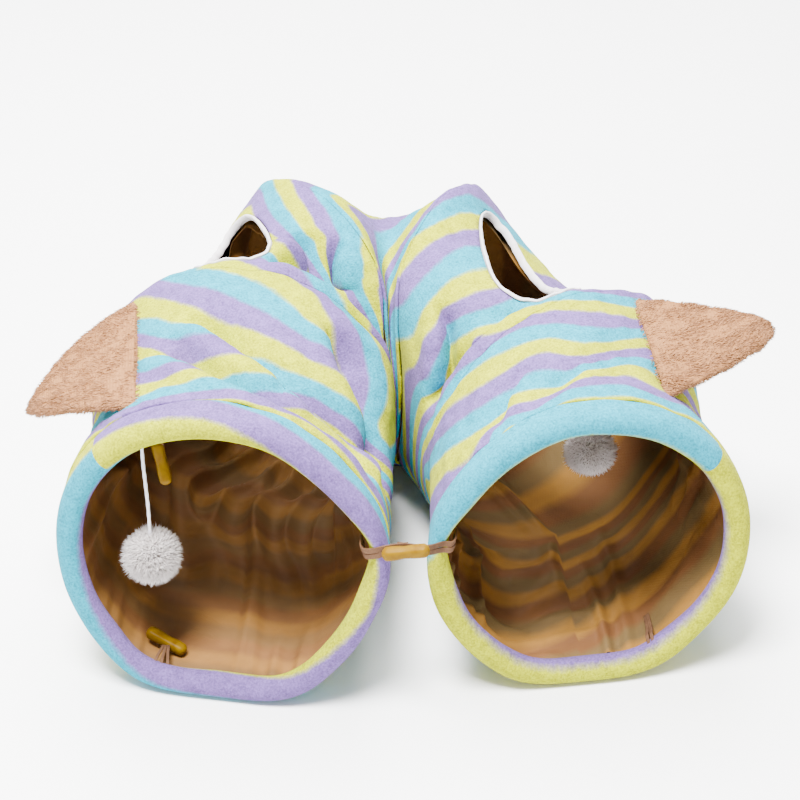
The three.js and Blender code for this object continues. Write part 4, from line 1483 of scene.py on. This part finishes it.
@dataclass
class Lining:
    """The thin lining through the whole tunnel, pleated lengthwise and drawn in at the hoops."""

    node: str = "lining"
    across: int = 300
    pitch: float = 4.2
    pleats: int = 34
    seed: int = 5
    twist: float = 75.0
    crumple: float = 14.0
    wrinkle: float = 2.2
    casing: float = 2.2
    casing_half: float = 0.035
    pleat_wave: float = 2.1
    sway_wave: float = 3.4
    hoop_ease: float = 0.12
    crumple_size: float = 62.0
    wrinkle_wave: float = 39.0
    twist_angle: float = 225.0
    twist_spread: float = 60.0
    clear: float = 10.0
    lip_gap: float = 0.4
    hole_size: float = 0.985
    slack: tuple[tuple[float, float, float, float, float], ...] = (
        (3.75, 40.0, 0.3, 42.0, 42.0), (1.55, 300.0, 0.25, 30.0, 22.0), (1.75, 255.0, 0.2, 24.0, 18.0),
    )

    def pleat_rows(self) -> list[Pleat]:
        """The pleats, unevenly spread.

        Returns:
            One row for each pleat.
        """
        draw = np.random.default_rng(self.seed)
        return [
            Pleat(360.0 * (k + draw.uniform(0.0, 0.8)) / self.pleats, draw.uniform(1.5, 3.2),
                  draw.uniform(2.0, 8.0), draw.uniform(1.0, 4.0), draw.uniform(0.0, 6.28))
            for k in range(self.pleats)
        ]

    def rise(self, w: Array, deg: Array) -> Array:
        """How far the pleats and the hoops' casings stand in from the plain lining.

        Args:
            w: Places along the tunnel, counted in panels.
            deg: Places round the tunnel.

        Returns:
            Heights in mm.
        """
        t = w - np.floor(w)
        rise = np.zeros(w.shape)
        for pleat in self.pleat_rows():
            strong = np.clip(np.sin(w * self.pleat_wave + pleat.phase) * 1.4, 0.0, 1.0)
            sway = pleat.sway * np.sin(w * self.sway_wave + 2 * pleat.phase)
            rise += pleat.height * strong * np.exp(-((wrap(deg - pleat.angle - sway) / pleat.width) ** 2))
        rise *= smooth(0.0, self.hoop_ease, t) * smooth(0.0, self.hoop_ease, 1 - t)
        spread = np.stack([wrap(deg - 270.0) * MM_PER_DEGREE, w * 150.0, np.zeros(w.shape)], -1)
        # Crumpled where it hangs free in the left arm; wrinkled round the tunnel in the right one.
        ridge = 1 - np.abs(np.clip(lumps(spread, self.crumple_size, 77), -1.0, 1.0))
        rise += self.crumple * ridge * smooth(0.35, 0.7, w) * smooth(0.0, 0.5, 2.2 - w)
        wave = 1 + np.sin(w * self.wrinkle_wave + 2.2 * lumps(spread, 90.0, 21))
        wave *= np.clip(0.6 + lumps(spread, 70.0, 8), 0.0, 1.0)
        rise += self.wrinkle * wave * smooth(3.9, 4.2, w) * smooth(0.02, 0.2, 5.0 - w)
        for at, angle, long, wide, deep in self.slack:
            rise += deep * np.exp(-(((w - at) / long) ** 2) - (wrap(deg - angle) / wide) ** 2)
        # The hoops between the mouths are sewn into casings.
        inner = (w > 0.5) * (w < LAST_PANEL + 0.5)
        return rise + self.casing * np.exp(-((np.minimum(t, 1 - t) / self.casing_half) ** 2)) * inner

    def clearance(self, panel: int, t: Array, deg: Array) -> Array:
        """How much further in the lining hangs to stay clear of the cover's folds near by.

        Args:
            panel: Panel number from the left mouth.
            t: Places along the panel, 0 to 1.
            deg: Places round the tunnel.

        Returns:
            Extra depths in mm.
        """
        folded, _ = FORM.folds(panel, t, deg)
        deepest = folded
        for turn in np.linspace(0.0, 2 * math.pi, 8, endpoint=False):
            along = np.clip(t + self.clear * math.sin(turn) / PANEL_RUN[panel], 0.0, 1.0)
            near, _ = FORM.folds(panel, along, deg + self.clear * math.cos(turn) / MM_PER_DEGREE)
            deepest = np.maximum(deepest, near)
        return deepest - folded

    def hang(self, panel: int, w: Array, deg: Array) -> Array:
        """Where the lining hangs in one panel.

        Args:
            panel: Panel number from the left mouth.
            w: Places along the tunnel, counted in panels.
            deg: Places round the tunnel.

        Returns:
            The places in mm.
        """
        t = w - panel
        depth = self.rise(w, deg) + self.clearance(panel, t, deg)
        face = FORM.face(panel, t, deg, plain=True)
        inward = unit(FORM.axis(panel, t) - face)
        return face - FORM.out(panel, t, deg) * LINING_DEPTH + inward * depth[:, None]

    def build(self, material: Material) -> Piece:
        """Makes the lining.

        Args:
            material: The taffeta.

        Returns:
            The piece.
        """
        steps = [max(int(run / self.pitch), 8) for run in PANEL_RUN]
        stops = np.concatenate([k + np.arange(n) / n for k, n in enumerate(steps)] + [[LAST_PANEL + 1.0]])
        grid, flat = flat_grid(self.across, len(stops) - 1)
        deg = SEAM_ANGLE + 360.0 * flat[:, 0]
        w = stops[np.rint(flat[:, 1] * (len(stops) - 1)).astype(int)]
        first, last = ((BAND_LIP + self.lip_gap) / FORM.run(panel, deg) for panel in (0, LAST_PANEL))
        w = np.where(w < 1, first + w * (1 - first), w)
        w = np.where(w > LAST_PANEL, LAST_PANEL + (w - LAST_PANEL) * (1 - last), w)
        inside: list[bmesh.types.BMFace] = []
        for hole in PEEPHOLES:
            cut, t, deg = hole_faces(grid, hole, w - hole.panel, deg, self.hole_size)
            w = t + hole.panel
            inside += cut
        places, cloth = np.zeros((len(w), 3)), np.zeros(len(w))
        for panel in range(LAST_PANEL + 1):
            rows = (w >= panel) & ((w < panel + 1) | (panel == LAST_PANEL))
            places[rows] = self.hang(panel, w[rows], deg[rows])
            cloth[rows] = LAY.length(panel, w[rows] - panel, deg[rows])
        # In the right arm the lining is sewn in with a twist.
        turned = wrap(deg - self.twist_angle) / self.twist_spread
        cloth += self.twist * np.exp(-(turned**2)) * smooth(3.9, 4.4, w)
        lay_out(grid, places, np.stack([deg * MM_PER_DEGREE, cloth], -1) * MM)
        bmesh.ops.delete(grid, geom=inside, context="FACES")
        bmesh.ops.remove_doubles(grid, verts=grid.verts, dist=MERGE_SEAM)
        piece = make_piece(self.node, grid, material, outward=False)
        return piece


@dataclass
class HoleBinding:
    """White tape folded over the edge of a peephole and stitched down."""

    hole: Peephole
    across: int = 120
    ripple: float = 0.35
    section: tuple[tuple[float, float], ...] = (
        (0.9, 0.5), (1.4, 1.2), (2.4, 1.5), (3.7, 1.0), (4.6, -0.5), (4.7, -2.4), (3.8, -4.3),
        (2.4, -4.9), (1.0, -4.8), (1.2, -2.0),
    )

    def edge(self, grow: float) -> Array:
        """Places round the hole's edge, drawn larger or smaller."""
        deg, t = self.way_round(grow)
        return FORM.face(self.hole.panel, t, deg)

    def way_round(self, grow: float) -> tuple[Array, Array]:
        """Angles and places along the panel round the hole."""
        phase = np.linspace(0.0, 2 * math.pi, self.across + 1)
        return self.hole.place(grow * np.sin(phase), grow * np.cos(phase))

    def build(self, material: Material) -> Piece:
        """Makes the binding.

        Args:
            material: The tape.

        Returns:
            The piece.
        """
        deg, t = self.way_round(1.0)
        out = FORM.out(self.hole.panel, t, deg)
        wide = self.edge(1.04) - self.edge(0.96)
        away = unit(wide - out * (wide * out).sum(-1, keepdims=True))
        edge = self.edge(1.0)
        outline = spline(np.array(self.section), 3, closed=True)
        ripple = self.ripple * lumps(edge, 9.0, 31)
        rows = np.stack([edge - away * toward + out * (up + ripple)[:, None] for toward, up in outline])
        mesh = tube(rows, walked(edge)[None, :], walked(outline)[:, None], caps=False)
        return make_piece(f"binding_{self.hole.name}", mesh, material)


def strands(name: str, roots: Array, ways: Array, bends: Array, lengths: Array, thick: float,
            material: Material) -> Piece:
    """Many short strands as one mesh, each a thin three-sided spike with a bend.

    Args:
        name: The piece's name.
        roots: Where the strands start, in mm.
        ways: Where they point.
        bends: Where they lean over, per mm of length.
        lengths: How long they are, in mm.
        thick: Thickness at the root in mm.
        material: The yarn or fur.

    Returns:
        The piece.
    """
    count = len(roots)
    draw = np.random.default_rng(count)
    side = unit(np.cross(ways, draw.normal(size=(count, 3))))
    other = np.cross(ways, side)
    size = lengths[:, None]
    # A strand runs nearly straight to half way, and leans over from there to its tip.
    half = roots + ways * size * 0.55 + bends * size * 0.2
    tip = roots + ways * size * 0.92 + bends * size * 0.75
    places = []
    for middle, wide in ((roots, thick / 2), (half, thick * 0.42)):
        for turn in (0.0, 2.1, 4.2):
            places.append(middle + (side * math.cos(turn) + other * math.sin(turn)) * wide)
    corners = to_frame(np.stack(places + [tip], 1).reshape(-1, 3))
    start = np.arange(count)[:, None] * 7
    quads = np.concatenate([start + np.array([[k, (k + 1) % 3, 3 + (k + 1) % 3, 3 + k]]) for k in range(3)])
    spikes = np.concatenate([start + np.array([[3 + k, 3 + (k + 1) % 3, 6]]) for k in range(3)])
    data = bpy.data.meshes.new(name)
    data.from_pydata(corners.tolist(), [], quads.tolist() + spikes.tolist())
    layer = data.uv_layers.new(name="strand")
    loop_corner = np.zeros(len(data.loops), int)
    data.loops.foreach_get("vertex_index", loop_corner)
    along = np.array([0.0, 0.0, 0.0, 0.5, 0.5, 0.5, 1.0])[loop_corner % 7]
    tone = draw.uniform(0.0, 1.0, count)[loop_corner // 7]
    layer.data.foreach_set("uv", np.stack([tone, along], -1).ravel())
    return place_piece(name, data, material, stands_for=False)


@dataclass
class Ear:
    """A soft fur ear: a flat cushion from its root on the cover to a rounded tip, and its pile."""

    node: str
    panel: int
    root_back: tuple[float, float]
    root_front: tuple[float, float]
    tip: tuple[float, float, float]
    back_bow: tuple[float, float, float]
    front_bow: tuple[float, float, float]
    seed: int
    thick: float = 11.0
    tip_half: float = 18.0
    tip_slim: float = 5.0
    sunk: float = 2.5
    past_tip: float = 1.05
    round_from: float = 0.88
    round_over: float = 0.18
    pile: float = 4.2
    hair: float = 0.62
    stray: float = 0.28
    tuft: float = 0.35
    tuft_size: float = 16.0
    count: int = 13000

    def root(self, at: float, deg: float) -> Array:
        """A place of the root, sunk a little into the cover."""
        place = (self.panel, np.array(at), np.array(deg))
        return FORM.face(*place, plain=True) - self.sunk * FORM.out(*place)

    def shape(self, along: Array, phase: Array, grow: float = 0.0) -> Array:
        """Places on the cushion.

        Args:
            along: 0 at the root to past_tip.
            phase: Turn round the cushion, in radians.
            grow: Extra size in mm.

        Returns:
            The places in mm.
        """
        back, front = self.root(*self.root_back), self.root(*self.root_front)
        tip = np.array(self.tip)
        flat = unit(np.cross(front - back, tip - (back + front) / 2))
        lie = unit(front - back)
        along = np.asarray(along, float)
        way = along[..., None]
        bow = 4 * way * (1 - way)
        edge_back = back + (tip - back) * way + np.array(self.back_bow) * bow
        edge_front = front + (tip - front) * way + np.array(self.front_bow) * bow
        middle = (edge_back + edge_front) / 2
        bulge = ((edge_front - edge_back) @ lie) / 2
        root_half = np.linalg.norm(front - back) / 2
        past = ((along - self.round_from) / self.round_over).clip(0, 1)
        rounding = np.sqrt(np.clip(1 - past**2, 0, 1))
        half = (np.maximum(bulge, root_half * (1 - along)) + self.tip_half * along) * rounding
        deep = self.thick / 2 * (1 - 0.3 * along) * rounding
        wide = (half - self.tip_slim * along * rounding + grow) * np.cos(phase)
        return middle + wide[..., None] * lie + ((deep + grow) * np.sin(phase))[..., None] * flat

    def build(self, cloth: Material, fur: Material) -> Piece:
        """Makes the ear and its pile.

        Args:
            cloth: The finish of the cushion.
            fur: The finish of the pile.

        Returns:
            The cushion.
        """
        steps, turns = np.linspace(0.0, self.past_tip, 40), np.linspace(0, 2 * math.pi, 65)
        along, phase = np.meshgrid(steps, turns, indexing="ij")
        rows = self.shape(along, phase)
        rows += 0.5 * lumps(rows, 22.0, self.seed + 40)[..., None] * np.array([0.3, 0.3, 0.9])
        mesh = tube(rows, phase * 12.0, along * 60.0, caps=True)
        piece = make_piece(self.node, mesh, cloth)
        self.fur(fur)
        return piece

    def fur(self, material: Material) -> None:
        """Covers the ear with strands laid towards its tip.

        Args:
            material: The finish of the pile.
        """
        draw = np.random.default_rng(self.seed)
        along = draw.uniform(-0.04, self.past_tip, self.count)
        phase = draw.uniform(0.0, 2 * math.pi, self.count)
        roots = self.shape(along, phase, -0.6)
        out = unit(self.shape(along, phase, 2.0) - roots)
        to_tip = unit(self.shape(np.minimum(along + 0.04, 1.06), phase) - self.shape(along - 0.02, phase))
        stray = draw.normal(0.0, self.stray, (self.count, 3))
        tufts = np.stack([lumps(roots, self.tuft_size, self.seed + k) for k in (60, 61, 62)], -1)
        ways = unit(out * 0.75 + to_tip * 0.8 + stray + self.tuft * tufts)
        bends = to_tip * 0.55 + np.array([0.0, 0.0, -0.3])
        lengths = self.pile * draw.uniform(0.65, 1.1, self.count)
        strands(f"{self.node}_pile", roots, ways, bends, lengths, self.hair, material)


EARS = (
    Ear(node="ear_left", panel=0, root_back=(0.97, 134), root_front=(0.2, 123), tip=(-268, 102, 186),
        back_bow=(-8, 11, 8), front_bow=(-2, -4, -5), seed=1),
    Ear(node="ear_right", panel=4, root_back=(0.04, 119), root_front=(0.7, 123), tip=(272, 152, 220),
        back_bow=(1, 3, 1), front_bow=(1, -3, 0), seed=2),
)


@dataclass
class Pompom:
    """A yarn pompom on its hanging cord."""

    name: str
    top: Array
    height: float
    size: float
    seed: int
    core: float = 17.0
    reach: float = 22.6
    cord: float = 2.4
    yarn: float = 1.1
    count: int = 6500

    def build(self, yarn: Material, twist: Material) -> None:
        """Makes the pompom's core, its yarn ends and its cord.

        Args:
            yarn: The pompom's finish.
            twist: The cord's finish.
        """
        middle = np.array([self.top[0], self.top[1], self.height])
        core = self.ball(middle, yarn)
        ends = self.ends(middle, yarn)
        self.hang(middle, twist, [core, ends])

    def ball(self, middle: Array, yarn: Material) -> Piece:
        """Makes the bound middle of the pompom.

        Args:
            middle: Its place in mm.
            yarn: Its finish.

        Returns:
            The piece.
        """
        ball = bmesh.new()
        bmesh.ops.create_icosphere(ball, subdivisions=3, radius=self.core * self.size * 0.95 * MM)
        bmesh.ops.translate(ball, verts=ball.verts, vec=Vector(to_frame(middle)))
        ball.loops.layers.uv.new("strand")
        piece = make_piece(f"pompom_{self.name}", ball, yarn)
        return piece

    def ends(self, middle: Array, yarn: Material) -> Piece:
        """Makes the yarn ends that stand out all round.

        Args:
            middle: The pompom's place in mm.
            yarn: Their finish.

        Returns:
            The piece.
        """
        draw = np.random.default_rng(self.seed)
        ways = unit(draw.normal(size=(self.count, 3)))
        lengths = self.size * self.reach * (1.0 + 0.03 * lumps(ways * 20.0, 26.0, self.seed))
        lengths = lengths * draw.uniform(0.94, 1.03, self.count)
        inner = self.core * self.size * 0.8
        bends = 0.5 * unit(draw.normal(size=(self.count, 3))) + np.array([0.0, 0.0, -0.08])
        return strands(f"pompom_{self.name}_yarn", middle + ways * inner, ways, bends, lengths - inner,
                       self.yarn, yarn)

    def hang(self, middle: Array, twist: Material, pieces: list[Piece]) -> None:
        """Makes the twisted cord from the top down into the pompom.

        Args:
            middle: The pompom's place in mm.
            twist: The cord's finish.
            pieces: The pieces that hang on it; not used.
        """
        low = middle + np.array([0.0, 0.0, self.core * self.size * 0.7])
        steps = np.linspace(0.0, 1.0, 40)[:, None]
        axis = low + (self.top - low) * steps
        axis[:, :1] += 0.5 * np.sin(steps * 5.0) * steps * (1 - steps) * 4
        phase = np.linspace(0, 2 * math.pi, 17)
        deep = self.cord / 2 * (1 + 0.12 * np.cos(2 * (phase - steps * 90.0)))
        rows = axis[:, None, :] + np.stack([deep * np.cos(phase), deep * np.sin(phase), 0 * deep], -1)
        length = float(np.linalg.norm(self.top - low))
        mesh = tube(rows, steps * length, phase[None, :] * self.cord / 2, caps=True)
        string = make_piece(f"cord_{self.name}", mesh, twist)


@dataclass
class Toggle:
    """A moulded toggle bar with rounded ends and a slight waist."""

    node: str
    middle: Array
    way: Array
    length: float = 34.0
    wide: float = 9.4
    flat: float = 0.94
    end: float = 4.2
    waist: float = 0.13

    def build(self, material: Material) -> Piece:
        """Makes the bar.

        Args:
            material: The plastic.

        Returns:
            The piece.
        """
        axis = unit(np.array(self.way, float))
        side = unit(np.cross(axis, [1.0, 0.0, 0.0] if abs(axis[2]) > 0.7 else [0.0, 0.0, 1.0]))
        up = np.cross(side, axis)
        x = -0.5 * np.cos(np.linspace(0, math.pi, 41)) * self.length
        from_end = (self.length / 2 - np.abs(x)) / self.end
        rounding = np.sqrt(np.clip(1 - (1 - from_end).clip(0, 1) ** 2, 0.0, 1))
        waist = 1 - self.waist * np.exp(-((x / 5.0) ** 2))
        radius = self.wide / 2 * np.maximum(rounding, 0.02) * waist
        phase = np.linspace(0, 2 * math.pi, 33)
        square = (np.abs(np.cos(phase)) ** 3 + np.abs(np.sin(phase)) ** 3) ** (-1 / 3)
        spoke = np.cos(phase)[:, None] * side + np.sin(phase)[:, None] * up * self.flat
        rows = self.middle + x[:, None, None] * axis + radius[:, None, None] * (square[:, None] * spoke)
        mesh = tube(rows, phase[None, :] * 4.0, x[:, None], caps=True)
        return make_piece(self.node, mesh, material)


@dataclass
class Ribbon:
    """A short ribbon along a path, its width lying along a direction that may turn."""

    node: str
    path: Array
    wide: Array
    width: float = 6.0
    thick: float = 1.3
    parts: int = 1
    fan: float = 0.0

    def build(self, material: Material) -> Piece:
        """Makes the ribbon.

        Args:
            material: The weave.

        Returns:
            The piece.
        """
        axis = spline(self.path, 10)
        way = unit(np.gradient(axis, axis=0))
        wide = np.broadcast_to(np.asarray(self.wide, float), axis.shape)
        across = unit(wide - way * (wide * way).sum(-1, keepdims=True))
        up = np.cross(way, across)
        steps = walked(axis)
        part = steps / steps[-1]
        width = self.width / self.parts
        phase = np.linspace(0, 2 * math.pi, 25)
        flat, deep = (np.sign(turn) * np.abs(turn) ** 0.4 for turn in (np.cos(phase), np.sin(phase)))
        both = bmesh.new()
        for k in range(self.parts):
            beside = (k - (self.parts - 1) / 2) * (width * 0.9 + self.fan * (1 - smooth(0.1, 1.0, part)))
            lift = 0.5 * k * np.sin(part * 5.0)
            rows = (axis[:, None, :] + (beside[:, None] + width / 2 * flat)[..., None] * across[:, None, :]
                    + (lift[:, None] + self.thick / 2 * deep)[..., None] * up[:, None, :])
            single = tube(rows, steps[:, None], width / 2 * flat, caps=True)
            strand = bpy.data.meshes.new(self.node)
            single.to_mesh(strand)
            single.free()
            both.from_mesh(strand)
            bpy.data.meshes.remove(strand)
        return make_piece(self.node, both, material)


BAND_ROLL = 16.0
OVER = BAND_ROLL + 0.8 + PIECE_GAP


@dataclass
class Trim:
    """The toggles, their tabs and the loops at the two mouths."""

    plastic: Material
    weave: Material
    tie_left: float = 14.0
    tie_right: float = 12.0
    tie_place: tuple[float, float, float] = (4.0, -21.0, 148.0)
    tie_way: tuple[float, float, float] = (0.97, -0.1, 0.2)
    tie_width: float = 8.5
    hang_angle: float = 117.0
    hang_way: tuple[float, float, float] = (0.2, -0.3, -0.93)
    lie_angle: float = 246.0

    def rim_way(self, right: bool, deg: float) -> Array:
        """The direction round a mouth's lip."""
        return FORM.rim(right, deg + 2, 10, -BAND_ROLL) - FORM.rim(right, deg - 2, 10, -BAND_ROLL)

    def over_nose(self, right: bool, deg: float) -> Array:
        """A path from inside a lip over the nose of its band."""
        back, out = np.array([[16, -OVER], [6, -OVER], [0.4, -BAND_ROLL + 1.6], [-1.2, -BAND_ROLL / 2]]).T
        return FORM.rim(right, np.full(4, deg), back, out)

    def ribbon(self, node: str, right: bool, angle: float, places: list[Array], **sizes: float) -> None:
        """Makes a ribbon through places; its width lies along the lip that it is sewn to."""
        Ribbon(node, np.vstack(places), self.rim_way(right, angle), **sizes).build(self.weave)

    def build(self) -> None:
        """Makes the fastened toggle, the two free ones and the three loops."""
        self.build_tie()
        self.build_hanging()
        self.build_lying()
        self.build_loops()

    def build_tie(self) -> None:
        """The toggle that holds the two mouths together, with its tab and its loop."""
        place = np.array(self.tie_place)
        Toggle("toggle_tie", place, np.array(self.tie_way)).build(self.plastic)
        for node, right, angle, near, far in (
            ("tab_tie", False, self.tie_left, (-12.0, 4.6, -2.0), (2.0, 5.9, -0.6)),
            ("loop_tie", True, self.tie_right, (14.0, 5.6, -2.4), (-6.0, 7.9, -1.4)),
        ):
            places = [self.over_nose(right, angle), place + near, place + far]
            self.ribbon(node, right, angle, places, width=self.tie_width, parts=2, fan=1.0)

    def build_hanging(self) -> None:
        """The toggle that hangs from the left lip, with its tab."""
        start, top = (FORM.rim(False, self.hang_angle, back, -OVER) for back in (8, 17))
        low = top + [1.0, 4.0, -27.0]
        Toggle("toggle_upper", low, np.array(self.hang_way)).build(self.plastic)
        places = [start, top, low + [0.0, 4.6, 8.0], low + [0.0, 5.6, 0.0]]
        self.ribbon("tab_upper", False, self.hang_angle, places, width=5.0, thick=1.2, parts=2)

    def build_lying(self) -> None:
        """The toggle that lies on the lining, with its tab."""
        lie = FORM.rim(False, self.lie_angle, 42, -(COVER_THICK + 1.8 + PIECE_GAP + 4.8) - 4.8)
        forward = unit(FORM.rim(False, self.lie_angle, 30, -9) - lie)
        way = unit(self.rim_way(False, self.lie_angle)) + 0.2 * forward
        Toggle("toggle_lower", lie, way).build(self.plastic)
        places = [FORM.rim(False, self.lie_angle, back, -OVER) for back in (8, 15, 23)]
        places.append(lie + [0.0, -5.5, 0.0])
        self.ribbon("tab_lower", False, self.lie_angle, places, width=7.0, thick=1.4, parts=3, fan=3.0)

    def build_loops(self) -> None:
        """The two free loops inside the right mouth, pressed flat."""
        lip = OVER + 0.8
        for node, angle, path in (
            ("loop_upper", 110.0, ((8, -lip), (18, -lip), (30, -lip - 6))),
            ("loop_lower", 240.0, ((8, -lip), (19, -lip), (34, -11), (52, -8.6))),
        ):
            places = [FORM.rim(True, angle, back, out) for back, out in path]
            self.ribbon(node, True, angle, places, width=5.5, thick=1.6, parts=2, fan=1.0)


@dataclass
class Studio:
    """The pale floor, the soft lights and the camera."""

    floor_half: float = 6.0
    floor_drop: float = 0.0005
    lamps_at: tuple[float, float, float] = (0.0, 0.0, 0.1)

    def build(self) -> None:
        """Sets up the studio."""
        self.floor()
        self.camera()
        self.lights()

    def floor(self) -> None:
        """A plain pale floor."""
        material, tree = new_material("studio_floor")
        cloud = noise(tree, add_node(tree, "ShaderNodeTexCoord").outputs["Object"], 1 / 3)
        finished(material, {"Roughness": 0.9, "Specular IOR Level": 0.1},
                 Base_Color=ramped(tree, cloud, [(0.3, linear("F6F6F6")), (0.7, linear("F8F8F8"))]))
        grid = bmesh.new()
        bmesh.ops.create_grid(grid, x_segments=1, y_segments=1, size=self.floor_half)
        data = bpy.data.meshes.new("studio_floor")
        bmesh.ops.translate(grid, verts=grid.verts, vec=Vector((0, 0, -self.floor_drop)))
        grid.to_mesh(data)
        grid.free()
        data.materials.append(material)
        floor = bpy.data.objects.new("studio_floor", data)
        bpy.context.scene.collection.objects.link(floor)

    def camera(self) -> None:
        """The camera stands in front of the mouths and looks down on them."""
        data = bpy.data.cameras.new("camera")
        data.lens, data.sensor_width = LENS, SENSOR
        camera = bpy.data.objects.new("camera", data)
        camera.location = CAMERA_PLACE
        camera.rotation_euler = (CAMERA_TILT, 0.0, 0.0)
        bpy.context.scene.collection.objects.link(camera)
        bpy.context.scene.camera = camera

    def lights(self) -> None:
        """Soft light from all round, and large lamps overhead and in front."""
        world = bpy.data.worlds.new("studio")
        world.use_nodes = True
        sky = world.node_tree.nodes["Background"]
        sky.inputs["Color"].default_value = (1.0, 1.0, 1.0, 1.0)
        sky.inputs["Strength"].default_value = 1.0
        bpy.context.scene.world = world
        for name, place, size, power in (
            ("overhead", (-0.3, 0.85, 2.0), 1.6, 215.0),
            ("front", (-0.35, -0.55, 2.1), 0.7, 275.0),
        ):
            data = bpy.data.lights.new(name, "AREA")
            data.energy, data.size = power, size
            lamp = bpy.data.objects.new(name, data)
            lamp.location = place
            lamp.rotation_mode = "QUATERNION"
            lamp.rotation_quaternion = (Vector(self.lamps_at) - Vector(place)).to_track_quat("-Z", "Y")
            bpy.context.scene.collection.objects.link(lamp)


def pompoms() -> tuple[Pompom, Pompom]:
    """The two pompoms: one hangs inside the left lip, one from the lining of the right arm.

    Returns:
        Both, left one first.
    """
    left = FORM.rim(False, 124, 15, -BAND_ROLL - 1.5)
    place = (LAST_PANEL, np.array(0.2), np.array(101.0))
    right = FORM.face(*place, plain=True) - FORM.out(*place) * (COVER_THICK + 3.3)
    return (Pompom("left", left, height=98.0, size=0.96, seed=3),
            Pompom("right", right, height=107.0, size=0.9, seed=4))


def main() -> None:
    """Builds the tunnel piece by piece."""
    logging.basicConfig(level=logging.INFO, format="%(message)s")
    Studio().build()
    plush = PlushFinish().material()
    for panel, node in enumerate(COVERS):
        CoverPanel(node, panel).build(plush)
    for band in BANDS:
        band.build(plush)
    Lining().build(LiningFinish().material())
    tape = WovenFinish("white_cotton_tape", dark="B4AEB0", light="CEC9CB", rib=0.0012).material()
    for hole in PEEPHOLES:
        HoleBinding(hole).build(tape)
    backing = WovenFinish("beige_knit_backing", dark="744C2C", light="865C38", rib=0.0015).material()
    # The root colours of the fur and the yarn are painted shade.
    fur = YarnFinish("beige_faux_fur", root="7A5030", tip="986A44", spread=0.16, sheen=0.02).material()
    for ear in EARS:
        ear.build(backing, fur)
    yarn = YarnFinish("white_acrylic_yarn", root="A29A97", tip="CDC5C2", spread=0.08, sheen=0.0).material()
    twist = WovenFinish("white_twisted_cord", dark="C9C4CC", light="EDEAF0", rib=0.001).material()
    for pompom in pompoms():
        pompom.build(yarn, twist)
    ribbon = WovenFinish("brown_woven_ribbon", dark="412A1A", light="5C412D", rib=0.0011).material()
    Trim(TogglePlastic().material(), ribbon).build()


if __name__ == "__main__":
    main()
